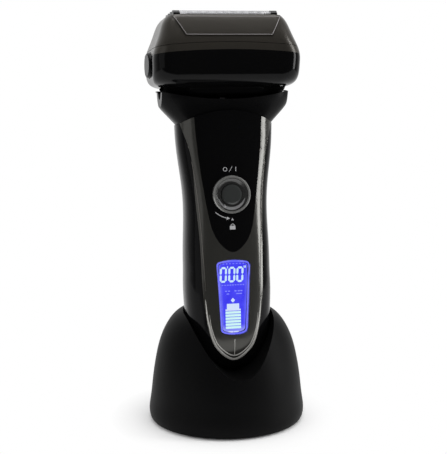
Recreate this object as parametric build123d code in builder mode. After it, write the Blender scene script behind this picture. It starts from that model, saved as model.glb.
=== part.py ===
from build123d import *
from math import copysign, cos, pi, sin, sqrt
import os

# Foil shaver standing in its charging stand.
# Millimetres, +Z up, the shaver's front faces -Y. The origin is on the table, under the middle of the stand.
# The shaver is modelled upright in its own frame, whose origin is the middle of its underside, and is then
# leaned back into the pocket of the stand.

os.makedirs("parts", exist_ok=True)

# ---------------------------------------------------------------- driving dimensions
LEAN = 6.0  # degrees that the shaver leans back in the stand
SEAT = (0.0, -4.0, 26.0)  # middle of the shaver's underside when it stands in the pocket

FIT = 0.15  # gap each side between fixed pieces that plug together
SLIP = 0.25  # gap each side round pieces that move
TOUCH = 0.05  # gap behind a bonded or clipped skin

# Handle
CASE_WALL = 2.0
SKIN = 1.0  # thickness of the trim, panel and grip skins set into the case
PARTING = 1.0  # Y of the plane between the two half shells
CASE_CREST = 120.5  # height of the arched top edge at the middle
CASE_SHOULDER = 114.3  # height of the same edge at the sides
CASE_HALF_WIDTH = 22.9  # at the shoulder
CASE_SECTIONS = [  # height, half width, half depth
    (0.0, 9.0, 8.0),
    (2.2, 13.4, 11.4),
    (7.0, 17.2, 14.4),
    (15.0, 19.4, 16.2),
    (28.0, 20.2, 17.0),
    (45.0, 20.4, 17.2),
    (65.0, 19.9, 16.6),
    (82.0, 19.9, 15.6),
    (100.0, 22.0, 14.6),
    (112.0, CASE_HALF_WIDTH, 14.2),
    (122.0, CASE_HALF_WIDTH + 0.6, 14.4),
]
CASE_SQUARENESS = 2.5  # exponent of the superellipse sections

# Control panel and switch
BUTTON_Z = 82.0
BEZEL_R = 8.7
LOCK_RING_R = 7.7
BUTTON_R = 4.7
BUTTON_TRAVEL = 0.8
BUTTON_FLANGE_R, STEM_R = 5.5, 1.8
BEZEL_BACK, BEZEL_FRONT, BEZEL_FLOOR = 12.2, 17.1, 0.8  # distances in front of the handle's middle
FLANGE_FRONT, STEM_BACK, BUTTON_FRONT = 14.5, 12.0, 17.3
LOCK_MARK_ANGLE = -125.0

# Display
WINDOW_TOP, WINDOW_BOTTOM = 52.0, 17.2
WINDOW_TOP_WIDTH, WINDOW_BOTTOM_WIDTH = 15.8, 12.4
WINDOW_LEDGE = 0.9  # the pane rests on this much of the front shell all round
LCD_THICK, BACKLIGHT_THICK = 1.2, 1.8

# Grip pad on the rear shell, and the screws that hold the shells together
GRIP_Z, GRIP_WIDTH, GRIP_HEIGHT = 59.0, 21.0, 74.0
LOWER_SCREWS = [(-11.0, 8.5), (11.0, 8.5)]
UPPER_SCREWS = [(-13.5, 106.0), (13.5, 106.0)]
SCREW_SPOTS = LOWER_SCREWS + UPPER_SCREWS
SCREW_R, SCREW_HEAD_R, SCREW_HEAD_HEIGHT, SCREW_LENGTH, SCREW_SEAT_Y = 1.1, 2.1, 1.6, 14.0, 9.0
BOSS_R = 2.9

# Works inside the handle
CELL_R, CELL_LENGTH = 7.0, 49.0
CELLS_BOTTOM = 12.0
WORKS_Y = 3.0  # the cells, the motor and the drive share this plane
CELL_Y = 3.0  # the cells lie behind the plane of the motor
CELL_GAP = 0.6
BOARD_FRONT, BOARD_THICK = 10.0, 1.6  # the board's front face lies this far in front of the middle
BOARD_BOTTOM, BOARD_TOP, BOARD_WIDTH = 14.5, 98.5, 20.0
CHASSIS_THICK = 1.5
CHASSIS_HALF = 14.6  # half width of the cage round the motor
CRADLE_HEIGHTS, CRADLE_DEPTH = (22.0, 38.0, 54.0), 6.4
BULKHEAD_THICK = 3.0
RAIL_THICK = 1.6
STROKE = 1.2  # the cutters swing this far each side of the middle
CORE_HALF, CORE_HALF_DEPTH, CORE_HEIGHT, CORE_YOKE = 12.6, 4.5, 17.0, 4.0
CORE_SLOT_X, CORE_SLOT = 6.4, 6.8
COIL_HALF_DEPTH = 6.3
AIR_GAP, MAGNET_THICK = 0.6, 2.2
MOVER_HALF, MOVER_HALF_DEPTH, MOVER_HEIGHT, MOVER_TONGUE = 9.0, 4.5, 10.0, 2.0
DRIVE_PIN_R, DRIVE_PIN_TOP = 2.0, 147.0
PIN_CLEARANCE = 0.05  # running fit round the drive pin and the pivot pins

# Foils and cutters
FOIL_COUNT = 4
FOIL_PITCH = 6.1
FOIL_R = 2.7
FOIL_THICK = 0.15
FOIL_TOP = 166.0
FOIL_HALF_LENGTH = 21.2
FOIL_LEG = 4.7
END_CAP_LENGTH = 3.0
CARRIER_HALF = FOIL_HALF_LENGTH + END_CAP_LENGTH
CARRIER_LIP = 0.9  # the carrier is held under the frame by this much all round
CUTTER_GAP = 0.08
CUTTER_HALF_LENGTH = 18.0
LAMELLA_PITCH, LAMELLA_THICK = 1.1, 0.45
CARRIAGE_HALF, CARRIAGE_HALF_DEPTH = 18.2, 11.4
CARRIAGE_BOTTOM, CARRIAGE_THICK, CARRIAGE_STEM_BOTTOM = 156.0, 2.0, 144.0
CARRIAGE_STEM_HALF, CARRIAGE_STEM_DEPTH = 5.0, 5.5
BLADE_HOLDER, BLADE_BASE = 1.8, 1.3

# Neck and head
NECK_WALL = 1.8
NECK_FLOOR, NECK_FLOOR_TOP, SPIGOT_BOTTOM, SPIGOT_WALL = 2.8, 121.0, 101.0, 1.8
POST_X, POST_THICK, POST_HALF_DEPTH = 15.5, 3.0, 4.0  # the two posts that carry the head
NECK_SECTIONS = [  # height, half width, half depth
    (111.0, CASE_HALF_WIDTH - 2.3, 12.6),
    (114.5, CASE_HALF_WIDTH - 0.5, 12.7),
    (117.5, 25.2, 12.8),
    (120.2, 27.8, 13.0),
    (123.0, CARRIER_HALF + 5.9, 13.6),
    (126.0, CARRIER_HALF + 7.3, 14.7),
    (129.0, CARRIER_HALF + 8.0, 15.8),
    (132.5, CARRIER_HALF + 8.2, 16.6),
]
NECK_RIM_FRONT, NECK_RIM_REAR = 125.6, 129.0  # height of the cup's rim in the middle
NECK_RIM_SIDE, NECK_RIM_HALF = 130.1, CARRIER_HALF + 8.0
HEAD_SECTIONS = [  # height, half width, half depth, corner radius
    (127.8, CARRIER_HALF - 9.0, 5.0, 4.0),
    (130.9, CARRIER_HALF + 2.0, 11.6, 8.8),
    (132.4, CARRIER_HALF + 7.6, 14.9, 9.6),
    (134.4, CARRIER_HALF + 9.4, 17.6, 9.6),
    (138.4, CARRIER_HALF + 10.0, 19.9, 9.0),
    (142.0, CARRIER_HALF + 10.1, 20.6, 8.6),
    (146.5, CARRIER_HALF + 9.8, 20.9, 8.2),
    (151.5, CARRIER_HALF + 8.1, 20.2, 8.0),
    (157.5, CARRIER_HALF + 5.9, 17.9, 7.6),
    (161.5, CARRIER_HALF + 4.2, 16.0, 7.0),
    (163.6, CARRIER_HALF + 2.4, 14.8, 6.4),
]
HEAD_WALL = 1.8
SEAM_CREST, SEAM_SIDE, SEAM_HALF = 150.8, 149.0, CARRIER_HALF + 8.8
PIVOT_Z = 141.0
PIVOT_PIN_R = 1.5
NOD = 8.0  # degrees the head nods each way
NOD_ROOM = 1.1  # room for the drive pin in the carriage as the head nods
SEAM_GAP = 0.2  # between the housing and the foil frame
FACET_TOP_HALF, FACET_BOTTOM_HALF = CARRIER_HALF + 1.0, CARRIER_HALF - 4.2
FACET_SHOULDER, FACET_BOTTOM = 163.2, 154.0
FACET_RISE = 0.5  # the flat plate on the foil frame stands this proud
CHASSIS_PLATE_Z, CHASSIS_PLATE_THICK, CHASSIS_PLATE_HALF = 149.0, 2.5, CARRIER_HALF + 0.3
EAR_X, EAR_THICK, EAR_BOTTOM = 18.9, 2.6, 137.0
SPRING_WALL_X = 22.0
TAB_X, TAB_Y = CARRIER_HALF + 4.6, 12.0  # guides of the foil frame inside the housing
TAB_THICK, TAB_WIDTH = 1.4, 3.0
TAB_BOTTOM, TAB_TOP = 145.0, 156.0

# Release buttons
RELEASE_Z, RELEASE_WIDTH, RELEASE_HEIGHT = 142.0, 16.5, 11.6
RELEASE_FACE, RELEASE_BACK, RELEASE_FLANGE = CARRIER_HALF + 11.2, CARRIER_HALF + 6.1, 1.0
RELEASE_TRAVEL = 1.2

# Charging socket in the underside
SOCKET_WIDTH, SOCKET_DEPTH = 12.0, 7.0
SOCKET_HEIGHT, SOCKET_FLANGE_Z = 10.0, 4.3
PLUG_WIDTH, PLUG_DEPTH, PLUG_GAP = 9.4, 3.6, 0.4
PLUG_TOP, PLUG_FLANGE = 6.5, 2.0
CONTACT_PITCH, CONTACT_R = 5.0, 0.8
PIN_BOTTOM = 2.2
CONTACT_LIFT = 0.3  # the contacts end this far above the stand's board

# Stand
STAND_BOTTOM = 0.8  # the shell's lower edge, above the table
STAND_WALL = 2.4
STAND_HALF_WIDTH, STAND_HALF_DEPTH = 37.0, 36.0
STAND_SECTIONS = [  # height, set in from the half width, set in from the half depth, shift towards the back
    (STAND_BOTTOM, 0.8, 0.8, 0.0),
    (3.0, 0.0, 0.0, 0.0),
    (10.0, 0.5, 0.6, 0.0),
    (20.0, 1.7, 2.0, 0.1),
    (30.0, 3.3, 4.0, 0.4),
    (38.0, 5.3, 6.4, 0.8),
    (44.0, 7.9, 8.8, 1.2),
    (49.0, 11.4, 11.6, 1.6),
    (52.5, 16.6, 16.0, 2.0),
    (54.0, 22.6, 21.0, 2.2),
]
POCKET_GAP = 0.6  # round the shaver
NOTCH_BOTTOM, NOTCH_TOP, NOTCH_HALF = SEAT[2] + 0.6, 50.5, 20.4
FOOT_R, FOOT_THICK, FOOT_X, FOOT_Y = 4.0, 1.6, 16.0, STAND_HALF_DEPTH - 16.0
BASE_THICK = 2.0
STAND_SCREW_R, STAND_SCREW_HEAD_R, STAND_SCREW_LENGTH = 1.3, 2.5, 9.0
STAND_SCREW_X, STAND_SCREW_Y, STAND_BOSS_R = STAND_HALF_WIDTH - 13.0, 14.0, 3.2
STAND_BOARD_Z, BOARD_POST_X, BOARD_POST_Y = 10.0, 32.0, 20.0
BALLAST_Y, BALLAST_WIDTH, BALLAST_DEPTH, BALLAST_THICK = 16.0 - STAND_HALF_DEPTH, 36.0, 12.0, 6.8
JACK_MOUTH = STAND_HALF_DEPTH - 1.0
JACK_FRONT = JACK_MOUTH - 13.0
JACK_Z, JACK_LENGTH, JACK_WIDTH, JACK_HEIGHT = 10.3, 9.4, 9.0, 7.6
JACK_R, JACK_BORE_R, JACK_BORE_DEPTH, JACK_PIN_R = 3.0, 2.75, 9.5, 0.65


# ---------------------------------------------------------------- shared shapes
def superellipse(half_width, half_depth, squareness, points=28):
    """Points of |x/a|^n + |y/b|^n = 1, one turn."""
    turn = [2 * pi * i / points for i in range(points)]
    return [
        (
            half_width * copysign(abs(cos(t)) ** (2 / squareness), cos(t)),
            half_depth * copysign(abs(sin(t)) ** (2 / squareness), sin(t)),
        )
        for t in turn
    ]


def case_solid(inset):
    """The handle's outer form, drawn in by inset: a loft through its superellipse sections."""
    belly = CASE_SECTIONS[4][0]
    with BuildPart() as form:
        for height, half_width, half_depth in CASE_SECTIONS:
            lift = inset * max(0.0, 1 - height / belly)
            with BuildSketch(Plane.XY.offset(height + lift)):
                with BuildLine():
                    outline = superellipse(half_width - inset, half_depth - inset, CASE_SQUARENESS)
                    Spline(*outline, periodic=True)
                make_face()
        loft()
    return form.part


def neck_solid(inset):
    """The neck's flared cup, drawn in by inset: a loft through superellipses."""
    with BuildPart() as form:
        for height, half_width, half_depth in NECK_SECTIONS:
            with BuildSketch(Plane.XY.offset(height)):
                with BuildLine():
                    outline = superellipse(half_width - inset, half_depth - inset, CASE_SQUARENESS)
                    Spline(*outline, periodic=True)
                make_face()
        loft()
    return form.part


def head_solid(inset):
    """The head's outer form with its foil frame, drawn in by inset: a loft through rounded rectangles."""
    with BuildPart() as form:
        for height, half_width, half_depth, radius in HEAD_SECTIONS:
            low = HEAD_SECTIONS[4][0]
            lift = inset * max(0.0, (low - height) / (low - HEAD_SECTIONS[0][0]))
            with BuildSketch(Plane.XY.offset(height + lift)):
                RectangleRounded(2 * (half_width - inset), 2 * (half_depth - inset), radius - inset)
        loft()
    return form.part


def stand_solid(inset):
    """The stand's outer dome, drawn in by inset: a loft through ellipses."""
    with BuildPart() as form:
        for height, narrower, shallower, shift in STAND_SECTIONS:
            drop = inset * max(0.0, (height - 30.0) / 24.0)
            with BuildSketch(Plane.XY.offset(height - drop)):
                with Locations((0, shift)):
                    Ellipse(STAND_HALF_WIDTH - narrower - inset, STAND_HALF_DEPTH - shallower - inset)
        loft()
    return form.part


def arch(crest, side, half, reach):
    """A block between an arc in the front view and the height reach, right through in Y.

    The arc has its middle at height crest and passes x = +-half at height side.
    """
    rise = crest - side
    radius = (half**2 + rise**2) / (2 * abs(rise))
    wide = 1.3 * half
    drop = radius - sqrt(radius**2 - wide**2)
    edge = crest - copysign(drop, rise)
    with BuildPart() as block:
        with BuildSketch(Plane.XZ):
            with BuildLine():
                ThreePointArc((-wide, edge), (0, crest), (wide, edge))
                Polyline((wide, edge), (wide, reach), (-wide, reach), (-wide, edge))
            make_face()
        extrude(amount=60, both=True)
    return block.part


def tongue_face(grow):
    """Outline of the long control panel in the front view: wide at the top, a rounded point below."""
    side = [(15.9, 124.0), (14.7, 104.0), (12.2, 83.0), (10.5, 72.0), (8.4, 64.0), (4.6, 58.3)]
    right = [(x + grow, z) for x, z in side]
    tip = (0, 55.8 - grow)
    left = [(-x, z) for x, z in reversed(right)]
    with BuildSketch(Plane.XZ) as face:
        with BuildLine():
            Spline(*right, tip, *left)
            Line(left[-1], right[0])
        make_face()
    return face.sketch


def trim_face(grow):
    """Outline of the metallised trim in the front view: from the full width at the top to a point."""
    side = [(23.4, 124.0), (20.9, 112.0), (18.2, 103.0), (16.3, 84.0), (14.8, 60.0), (13.9, 34.0)]
    side += [(12.5, 22.5), (8.6, 11.0)]
    right = [(x + grow, z) for x, z in side]
    tip = (0, 4.6 - grow)
    left = [(-x, z) for x, z in reversed(right)]
    with BuildSketch(Plane.XZ) as face:
        with BuildLine():
            Spline(*right, tip, *left)
            Line(left[-1], right[0])
        make_face()
    return face.sketch


def window_face(grow):
    """Outline of the display window in the front view: it narrows downwards and bulges at both ends."""
    top, bottom = WINDOW_TOP_WIDTH / 2 + grow, WINDOW_BOTTOM_WIDTH / 2 + grow
    high, low, bulge = WINDOW_TOP + grow, WINDOW_BOTTOM - grow, 1.2
    with BuildSketch(Plane.XZ) as face:
        with BuildLine():
            ThreePointArc((-top, high - bulge), (0, high), (top, high - bulge))
            Line((top, high - bulge), (bottom, low + bulge))
            ThreePointArc((bottom, low + bulge), (0, low), (-bottom, low + bulge))
            Line((-bottom, low + bulge), (-top, high - bulge))
        make_face()
        fillet(face.vertices(), radius=1.8)
    return face.sketch


def grip_face(grow):
    """Outline of the grip pad in the rear view: a tall rounded rectangle."""
    with BuildSketch(Plane.XZ) as face:
        with Locations((0, GRIP_Z)):
            RectangleRounded(GRIP_WIDTH + 2 * grow, GRIP_HEIGHT + 2 * grow, GRIP_WIDTH / 2 + grow - 0.2)
    return face.sketch


def front_block(face, depth=40):
    """The part of space in front of the handle's middle that a front view outline covers."""
    with BuildPart() as block:
        extrude(face, amount=depth, dir=(0, -1, 0))
    return block.part


def rear_block(face, depth=40):
    """The part of space behind the handle's middle that a rear view outline covers."""
    with BuildPart() as block:
        extrude(face, amount=depth, dir=(0, 1, 0))
    return block.part


case_form = case_solid(0)
case_inside = case_solid(CASE_WALL)
skin_inside = case_solid(SKIN - TOUCH)
skin_floor = case_solid(SKIN)
case_top = arch(CASE_CREST, CASE_SHOULDER, CASE_HALF_WIDTH, -10)
head_form = head_solid(0)
head_inside = head_solid(HEAD_WALL)
head_room = head_solid(HEAD_WALL + FIT)
works_room = case_solid(CASE_WALL + FIT)

with BuildPart() as spigot_bore:
    add(case_solid(CASE_WALL + FIT + SPIGOT_WALL))
    with Locations((0, 0, NECK_FLOOR_TOP - NECK_FLOOR)):
        Box(100, 100, 200, align=(Align.CENTER, Align.CENTER, Align.MAX), mode=Mode.INTERSECT)
spigot_room = spigot_bore.part

with BuildPart() as frame_bore:
    add(head_inside)
    with Locations((0, 0, HEAD_SECTIONS[-1][0] - HEAD_WALL)):
        Box(100, 100, 200, align=(Align.CENTER, Align.CENTER, Align.MAX), mode=Mode.INTERSECT)
frame_inside = frame_bore.part

pieces = {}  # name: (part, True if it belongs to the shaver and leans with it)


def keep(block, name, leans=True):
    """Labels a finished piece and notes where it goes."""
    block.part.label = name
    pieces[name] = (block.part, leans)


# ---------------------------------------------------------------- half shells of the handle
with BuildPart() as trim_recess:
    add(case_form)
    add(skin_floor, mode=Mode.SUBTRACT)
    add(front_block(trim_face(FIT)), mode=Mode.INTERSECT)

with BuildPart() as grip_recess:
    add(case_form)
    add(skin_floor, mode=Mode.SUBTRACT)
    add(rear_block(grip_face(FIT)), mode=Mode.INTERSECT)

socket_bed = (SOCKET_WIDTH + 2 * FIT, SOCKET_DEPTH + 2 * FIT)

with BuildPart() as case_front:
    add(case_form)
    add(case_inside, mode=Mode.SUBTRACT)
    with BuildSketch(Plane.XZ.offset(FIT / 2 - PARTING)):
        with Locations(*SCREW_SPOTS):
            Circle(BOSS_R)
    extrude(amount=30)
    add(case_form, mode=Mode.INTERSECT)
    add(case_top, mode=Mode.INTERSECT)
    with Locations((0, PARTING - FIT / 2, 60)):
        Box(80, 60, 160, align=(Align.CENTER, Align.MAX, Align.CENTER), mode=Mode.INTERSECT)
    add(trim_recess.part, mode=Mode.SUBTRACT)
    add(front_block(window_face(-WINDOW_LEDGE)), mode=Mode.SUBTRACT)
    with BuildSketch(Plane.XZ):
        with Locations((0, BUTTON_Z)):
            Circle(BEZEL_R + FIT)
    extrude(amount=30, mode=Mode.SUBTRACT)
    with BuildSketch(Plane.XZ.offset(-PARTING)):
        with Locations(*SCREW_SPOTS):
            Circle(SCREW_R)
    extrude(amount=SCREW_LENGTH - SCREW_SEAT_Y + PARTING + 0.5, mode=Mode.SUBTRACT)
    with BuildSketch(Plane.XY.offset(-1)):
        RectangleRounded(*socket_bed, 1.5)
    extrude(amount=6, mode=Mode.SUBTRACT)
keep(case_front, "case_front")

with BuildPart() as case_rear:
    add(case_form)
    add(case_inside, mode=Mode.SUBTRACT)
    with BuildSketch(Plane.XZ.offset(-FIT / 2 - PARTING)):
        with Locations(*SCREW_SPOTS):
            Circle(BOSS_R)
    extrude(amount=-30)
    add(case_form, mode=Mode.INTERSECT)
    add(case_top, mode=Mode.INTERSECT)
    with Locations((0, PARTING + FIT / 2, 60)):
        Box(80, 60, 160, align=(Align.CENTER, Align.MIN, Align.CENTER), mode=Mode.INTERSECT)
    add(grip_recess.part, mode=Mode.SUBTRACT)
    with BuildSketch(Plane.XZ):
        with Locations(*SCREW_SPOTS):
            Circle(SCREW_R + 0.2)
    extrude(amount=-30, mode=Mode.SUBTRACT)
    with BuildSketch(Plane.XZ.offset(-SCREW_SEAT_Y)):
        with Locations(*SCREW_SPOTS):
            Circle(SCREW_HEAD_R + 0.2)
    extrude(amount=-30, mode=Mode.SUBTRACT)
    with BuildSketch(Plane.XY.offset(-1)):
        RectangleRounded(*socket_bed, 1.5)
    extrude(amount=6, mode=Mode.SUBTRACT)
keep(case_rear, "case_rear")

with BuildPart() as case_screws:
    with BuildSketch(Plane.XZ.offset(-SCREW_SEAT_Y)):
        with Locations(*SCREW_SPOTS):
            Circle(SCREW_HEAD_R)
    extrude(amount=-SCREW_HEAD_HEIGHT)
    with BuildSketch(Plane.XZ.offset(-SCREW_SEAT_Y)):
        with Locations(*SCREW_SPOTS):
            Circle(SCREW_R)
    extrude(amount=SCREW_LENGTH)
    with BuildSketch(Plane.XZ.offset(-SCREW_SEAT_Y - SCREW_HEAD_HEIGHT)):
        with Locations(*SCREW_SPOTS):
            Rectangle(2.6, 0.6)
            Rectangle(0.6, 2.6)
    extrude(amount=0.8, mode=Mode.SUBTRACT)
keep(case_screws, "case_screws")


# ---------------------------------------------------------------- skins set into the shells
with BuildPart() as fascia_trim:
    add(case_form)
    add(skin_inside, mode=Mode.SUBTRACT)
    add(front_block(trim_face(0)), mode=Mode.INTERSECT)
    add(case_top, mode=Mode.INTERSECT)
    add(front_block(tongue_face(FIT)), mode=Mode.SUBTRACT)
    add(front_block(window_face(FIT)), mode=Mode.SUBTRACT)
keep(fascia_trim, "fascia_trim")

with BuildPart() as control_panel:
    add(case_form)
    add(skin_inside, mode=Mode.SUBTRACT)
    add(front_block(tongue_face(0)), mode=Mode.INTERSECT)
    add(case_top, mode=Mode.INTERSECT)
    with BuildSketch(Plane.XZ):
        with Locations((0, BUTTON_Z)):
            Circle(BEZEL_R + FIT)
    extrude(amount=30, mode=Mode.SUBTRACT)
keep(control_panel, "control_panel")

with BuildPart() as display_window:
    add(case_form)
    add(skin_inside, mode=Mode.SUBTRACT)
    add(front_block(window_face(0)), mode=Mode.INTERSECT)
keep(display_window, "display_window")

with BuildPart() as grip_pad:
    add(case_form)
    add(skin_inside, mode=Mode.SUBTRACT)
    add(rear_block(grip_face(0)), mode=Mode.INTERSECT)
keep(grip_pad, "grip_pad")


# ---------------------------------------------------------------- power button and travel lock
def turned(plane_z, *profile):
    """A solid of revolution about the button's axis, from points (radius, distance in front)."""
    with BuildPart() as lathe:
        with BuildSketch(Plane.XY):
            with BuildLine():
                Polyline(*[(radius, -forward) for radius, forward in profile], close=True)
            make_face()
        revolve(axis=Axis.Y)
    return lathe.part.moved(Location((0, 0, plane_z)))


button_bezel = turned(
    BUTTON_Z,
    (BEZEL_R, BEZEL_BACK),
    (BEZEL_R, BEZEL_FRONT - 0.5),
    (BEZEL_R - 0.4, BEZEL_FRONT),
    (LOCK_RING_R - 0.1, BEZEL_FRONT),
    (LOCK_RING_R - 0.1, BEZEL_FRONT - 0.5),
    (LOCK_RING_R + SLIP, BEZEL_FRONT - 0.5),
    (LOCK_RING_R + SLIP, BEZEL_BACK + BEZEL_FLOOR),
    (STEM_R + SLIP, BEZEL_BACK + BEZEL_FLOOR),
    (STEM_R + SLIP, BEZEL_BACK),
)
lock_ring_body = turned(
    BUTTON_Z,
    (LOCK_RING_R, BEZEL_BACK + BEZEL_FLOOR + 0.1),
    (LOCK_RING_R, BEZEL_FRONT - 0.75),
    (LOCK_RING_R - 0.35, BEZEL_FRONT - 0.6),
    (BUTTON_R + 0.9, BEZEL_FRONT - 1.5),
    (BUTTON_R + SLIP, BEZEL_FRONT - 1.5),
    (BUTTON_R + SLIP, FLANGE_FRONT + 0.2),
    (BUTTON_FLANGE_R + SLIP, FLANGE_FRONT + 0.2),
    (BUTTON_FLANGE_R + SLIP, BEZEL_BACK + BEZEL_FLOOR + 0.1),
)

with BuildPart() as bezel:
    add(button_bezel)
keep(bezel, "button_bezel")

with BuildPart() as lock_ring:
    add(lock_ring_body)
    with BuildSketch(Plane.XZ.offset(BEZEL_FRONT - 1.6)):
        with Locations((0, BUTTON_Z)):
            mark_radius = (LOCK_RING_R + BUTTON_R) / 2 + 0.2
            with PolarLocations(radius=mark_radius, count=1, start_angle=LOCK_MARK_ANGLE):
                Circle(0.55)
    extrude(amount=0.85)
keep(lock_ring, "lock_ring")

with BuildPart() as power_button:
    add(
        turned(
            BUTTON_Z,
            (0, STEM_BACK),
            (STEM_R, STEM_BACK),
            (STEM_R, FLANGE_FRONT - 0.5),
            (BUTTON_FLANGE_R, FLANGE_FRONT - 0.5),
            (BUTTON_FLANGE_R, FLANGE_FRONT),
            (BUTTON_R, FLANGE_FRONT),
            (BUTTON_R, BUTTON_FRONT - 0.7),
            (BUTTON_R - 0.25, BUTTON_FRONT - 0.3),
            (BUTTON_R - 0.9, BUTTON_FRONT - 0.05),
            (BUTTON_R - 2.2, BUTTON_FRONT),
            (0, BUTTON_FRONT),
        )
    )
keep(power_button, "power_button")


# ---------------------------------------------------------------- display, board and switch
window_middle = (WINDOW_TOP + WINDOW_BOTTOM) / 2
window_height = WINDOW_TOP - WINDOW_BOTTOM

with BuildPart() as lcd_panel:
    with BuildSketch(Plane.XZ.offset(BOARD_FRONT + BACKLIGHT_THICK)):
        with Locations((0, window_middle)):
            Rectangle(WINDOW_TOP_WIDTH - 0.6, window_height + 0.8)
    extrude(amount=LCD_THICK)
keep(lcd_panel, "lcd_panel")

with BuildPart() as lcd_backlight:
    with BuildSketch(Plane.XZ.offset(BOARD_FRONT)):
        with Locations((0, window_middle)):
            Rectangle(WINDOW_TOP_WIDTH - 1.0, window_height)
    extrude(amount=BACKLIGHT_THICK)
keep(lcd_backlight, "lcd_backlight")

with BuildPart() as circuit_board:
    with BuildSketch(Plane.XZ.offset(BOARD_FRONT - BOARD_THICK)):
        with Locations((0, (BOARD_BOTTOM + BOARD_TOP) / 2)):
            Rectangle(BOARD_WIDTH, BOARD_TOP - BOARD_BOTTOM)
    extrude(amount=BOARD_THICK)
keep(circuit_board, "circuit_board")

with BuildPart() as tact_switch:
    with BuildSketch(Plane.XZ.offset(BOARD_FRONT)):
        with Locations((0, BUTTON_Z)):
            Rectangle(6, 6)
    extrude(amount=STEM_BACK - BOARD_FRONT - BUTTON_TRAVEL - 0.4)
    with BuildSketch(Plane.XZ.offset(BOARD_FRONT)):
        with Locations((0, BUTTON_Z)):
            Circle(1.7)
    extrude(amount=STEM_BACK - BOARD_FRONT - BUTTON_TRAVEL - 0.1)
keep(tact_switch, "tact_switch")


# ---------------------------------------------------------------- chassis, cells and linear motor
chassis_front = BOARD_FRONT - BOARD_THICK  # the board lies on the chassis plate
chassis_back = chassis_front - CHASSIS_THICK
cell_x = CELL_R + CELL_GAP / 2
cells_top = CELLS_BOTTOM + CELL_LENGTH
bulkhead_bottom = cells_top + 1.6
core_bottom = bulkhead_bottom + BULKHEAD_THICK
core_top = core_bottom + CORE_HEIGHT
magnet_bottom = core_top + AIR_GAP
mover_bottom = magnet_bottom + MAGNET_THICK
mover_top = mover_bottom + MOVER_HEIGHT
tongue_z = mover_bottom + MOVER_HEIGHT / 2

cage_depth = chassis_back + MOVER_HALF_DEPTH + SLIP + RAIL_THICK
with BuildPart() as chassis:
    with BuildSketch(Plane.XZ.offset(chassis_back)):
        with Locations((0, (BOARD_BOTTOM + BOARD_TOP) / 2)):
            Rectangle(60, BOARD_TOP - BOARD_BOTTOM)
    extrude(amount=CHASSIS_THICK)
    with BuildSketch(Plane.YZ):
        for height in CRADLE_HEIGHTS:
            with Locations((-chassis_back, height)):
                Rectangle(CRADLE_DEPTH, 2.0, align=(Align.MIN, Align.CENTER))
        with Locations((-chassis_back, bulkhead_bottom)):
            Rectangle(CRADLE_DEPTH + 6, BULKHEAD_THICK, align=(Align.MIN, Align.MIN))
    extrude(amount=30, both=True)
    with BuildSketch(Plane.XY.offset(CELLS_BOTTOM)):
        with Locations((-cell_x, CELL_Y), (cell_x, CELL_Y)):
            Circle(CELL_R + 0.1)
    extrude(amount=CELL_LENGTH + 0.5, mode=Mode.SUBTRACT)
    with BuildSketch(Plane.XY.offset(core_bottom - 0.1)):
        with Locations((0, -chassis_back)):
            Rectangle(2 * CHASSIS_HALF, cage_depth, align=(Align.CENTER, Align.MIN))
        with Locations((0, -chassis_back)):
            Rectangle(
                2 * (CHASSIS_HALF - RAIL_THICK),
                chassis_back + MOVER_HALF_DEPTH + SLIP + RAIL_THICK,
                align=(Align.CENTER, Align.MIN),
                mode=Mode.SUBTRACT,
            )
    extrude(amount=mover_top - core_bottom - 1)
    with BuildSketch(Plane.XY.offset(mover_bottom + 0.4)):
        with Locations((0, -chassis_back)):
            Rectangle(2 * CHASSIS_HALF, cage_depth, align=(Align.CENTER, Align.MIN))
        Rectangle(2 * (CHASSIS_HALF - RAIL_THICK), 2 * (MOVER_HALF_DEPTH + SLIP), mode=Mode.SUBTRACT)
    extrude(amount=MOVER_HEIGHT - 1.4)
    with BuildSketch(Plane.XY.offset(tongue_z - MOVER_TONGUE / 2 - SLIP)):
        Rectangle(2 * (CHASSIS_HALF - RAIL_THICK), 2 * (MOVER_HALF_DEPTH + MOVER_TONGUE / 2 + SLIP))
    extrude(amount=MOVER_TONGUE + 2 * SLIP, mode=Mode.SUBTRACT)
    add(works_room, mode=Mode.INTERSECT)
keep(chassis, "chassis")

for side, name in ((-1, "battery_cell_left"), (1, "battery_cell_right")):
    with BuildPart() as cell:
        with BuildSketch(Plane.XY.offset(CELLS_BOTTOM)):
            with Locations((side * cell_x, CELL_Y)):
                Circle(CELL_R)
        extrude(amount=CELL_LENGTH - 1)
        with BuildSketch(Plane.XY.offset(cells_top - 1)):
            with Locations((side * cell_x, CELL_Y)):
                Circle(2.6)
        extrude(amount=1)
    keep(cell, name)

with BuildPart() as battery_link:
    with BuildSketch(Plane.XY.offset(CELLS_BOTTOM - 0.3)):
        with Locations((0, CELL_Y)):
            RectangleRounded(2 * cell_x + 6, 5, 1.5)
    extrude(amount=0.3)
keep(battery_link, "battery_link")

with BuildPart() as motor_core:
    with BuildSketch(Plane.XZ.offset(-CORE_HALF_DEPTH)):
        with Locations((0, core_bottom)):
            Rectangle(2 * CORE_HALF, CORE_HEIGHT, align=(Align.CENTER, Align.MIN))
        with Locations((-CORE_SLOT_X, core_top), (CORE_SLOT_X, core_top)):
            Rectangle(CORE_SLOT, CORE_HEIGHT - CORE_YOKE, align=(Align.CENTER, Align.MAX), mode=Mode.SUBTRACT)
    extrude(amount=2 * CORE_HALF_DEPTH)
keep(motor_core, "motor_core")

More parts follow.
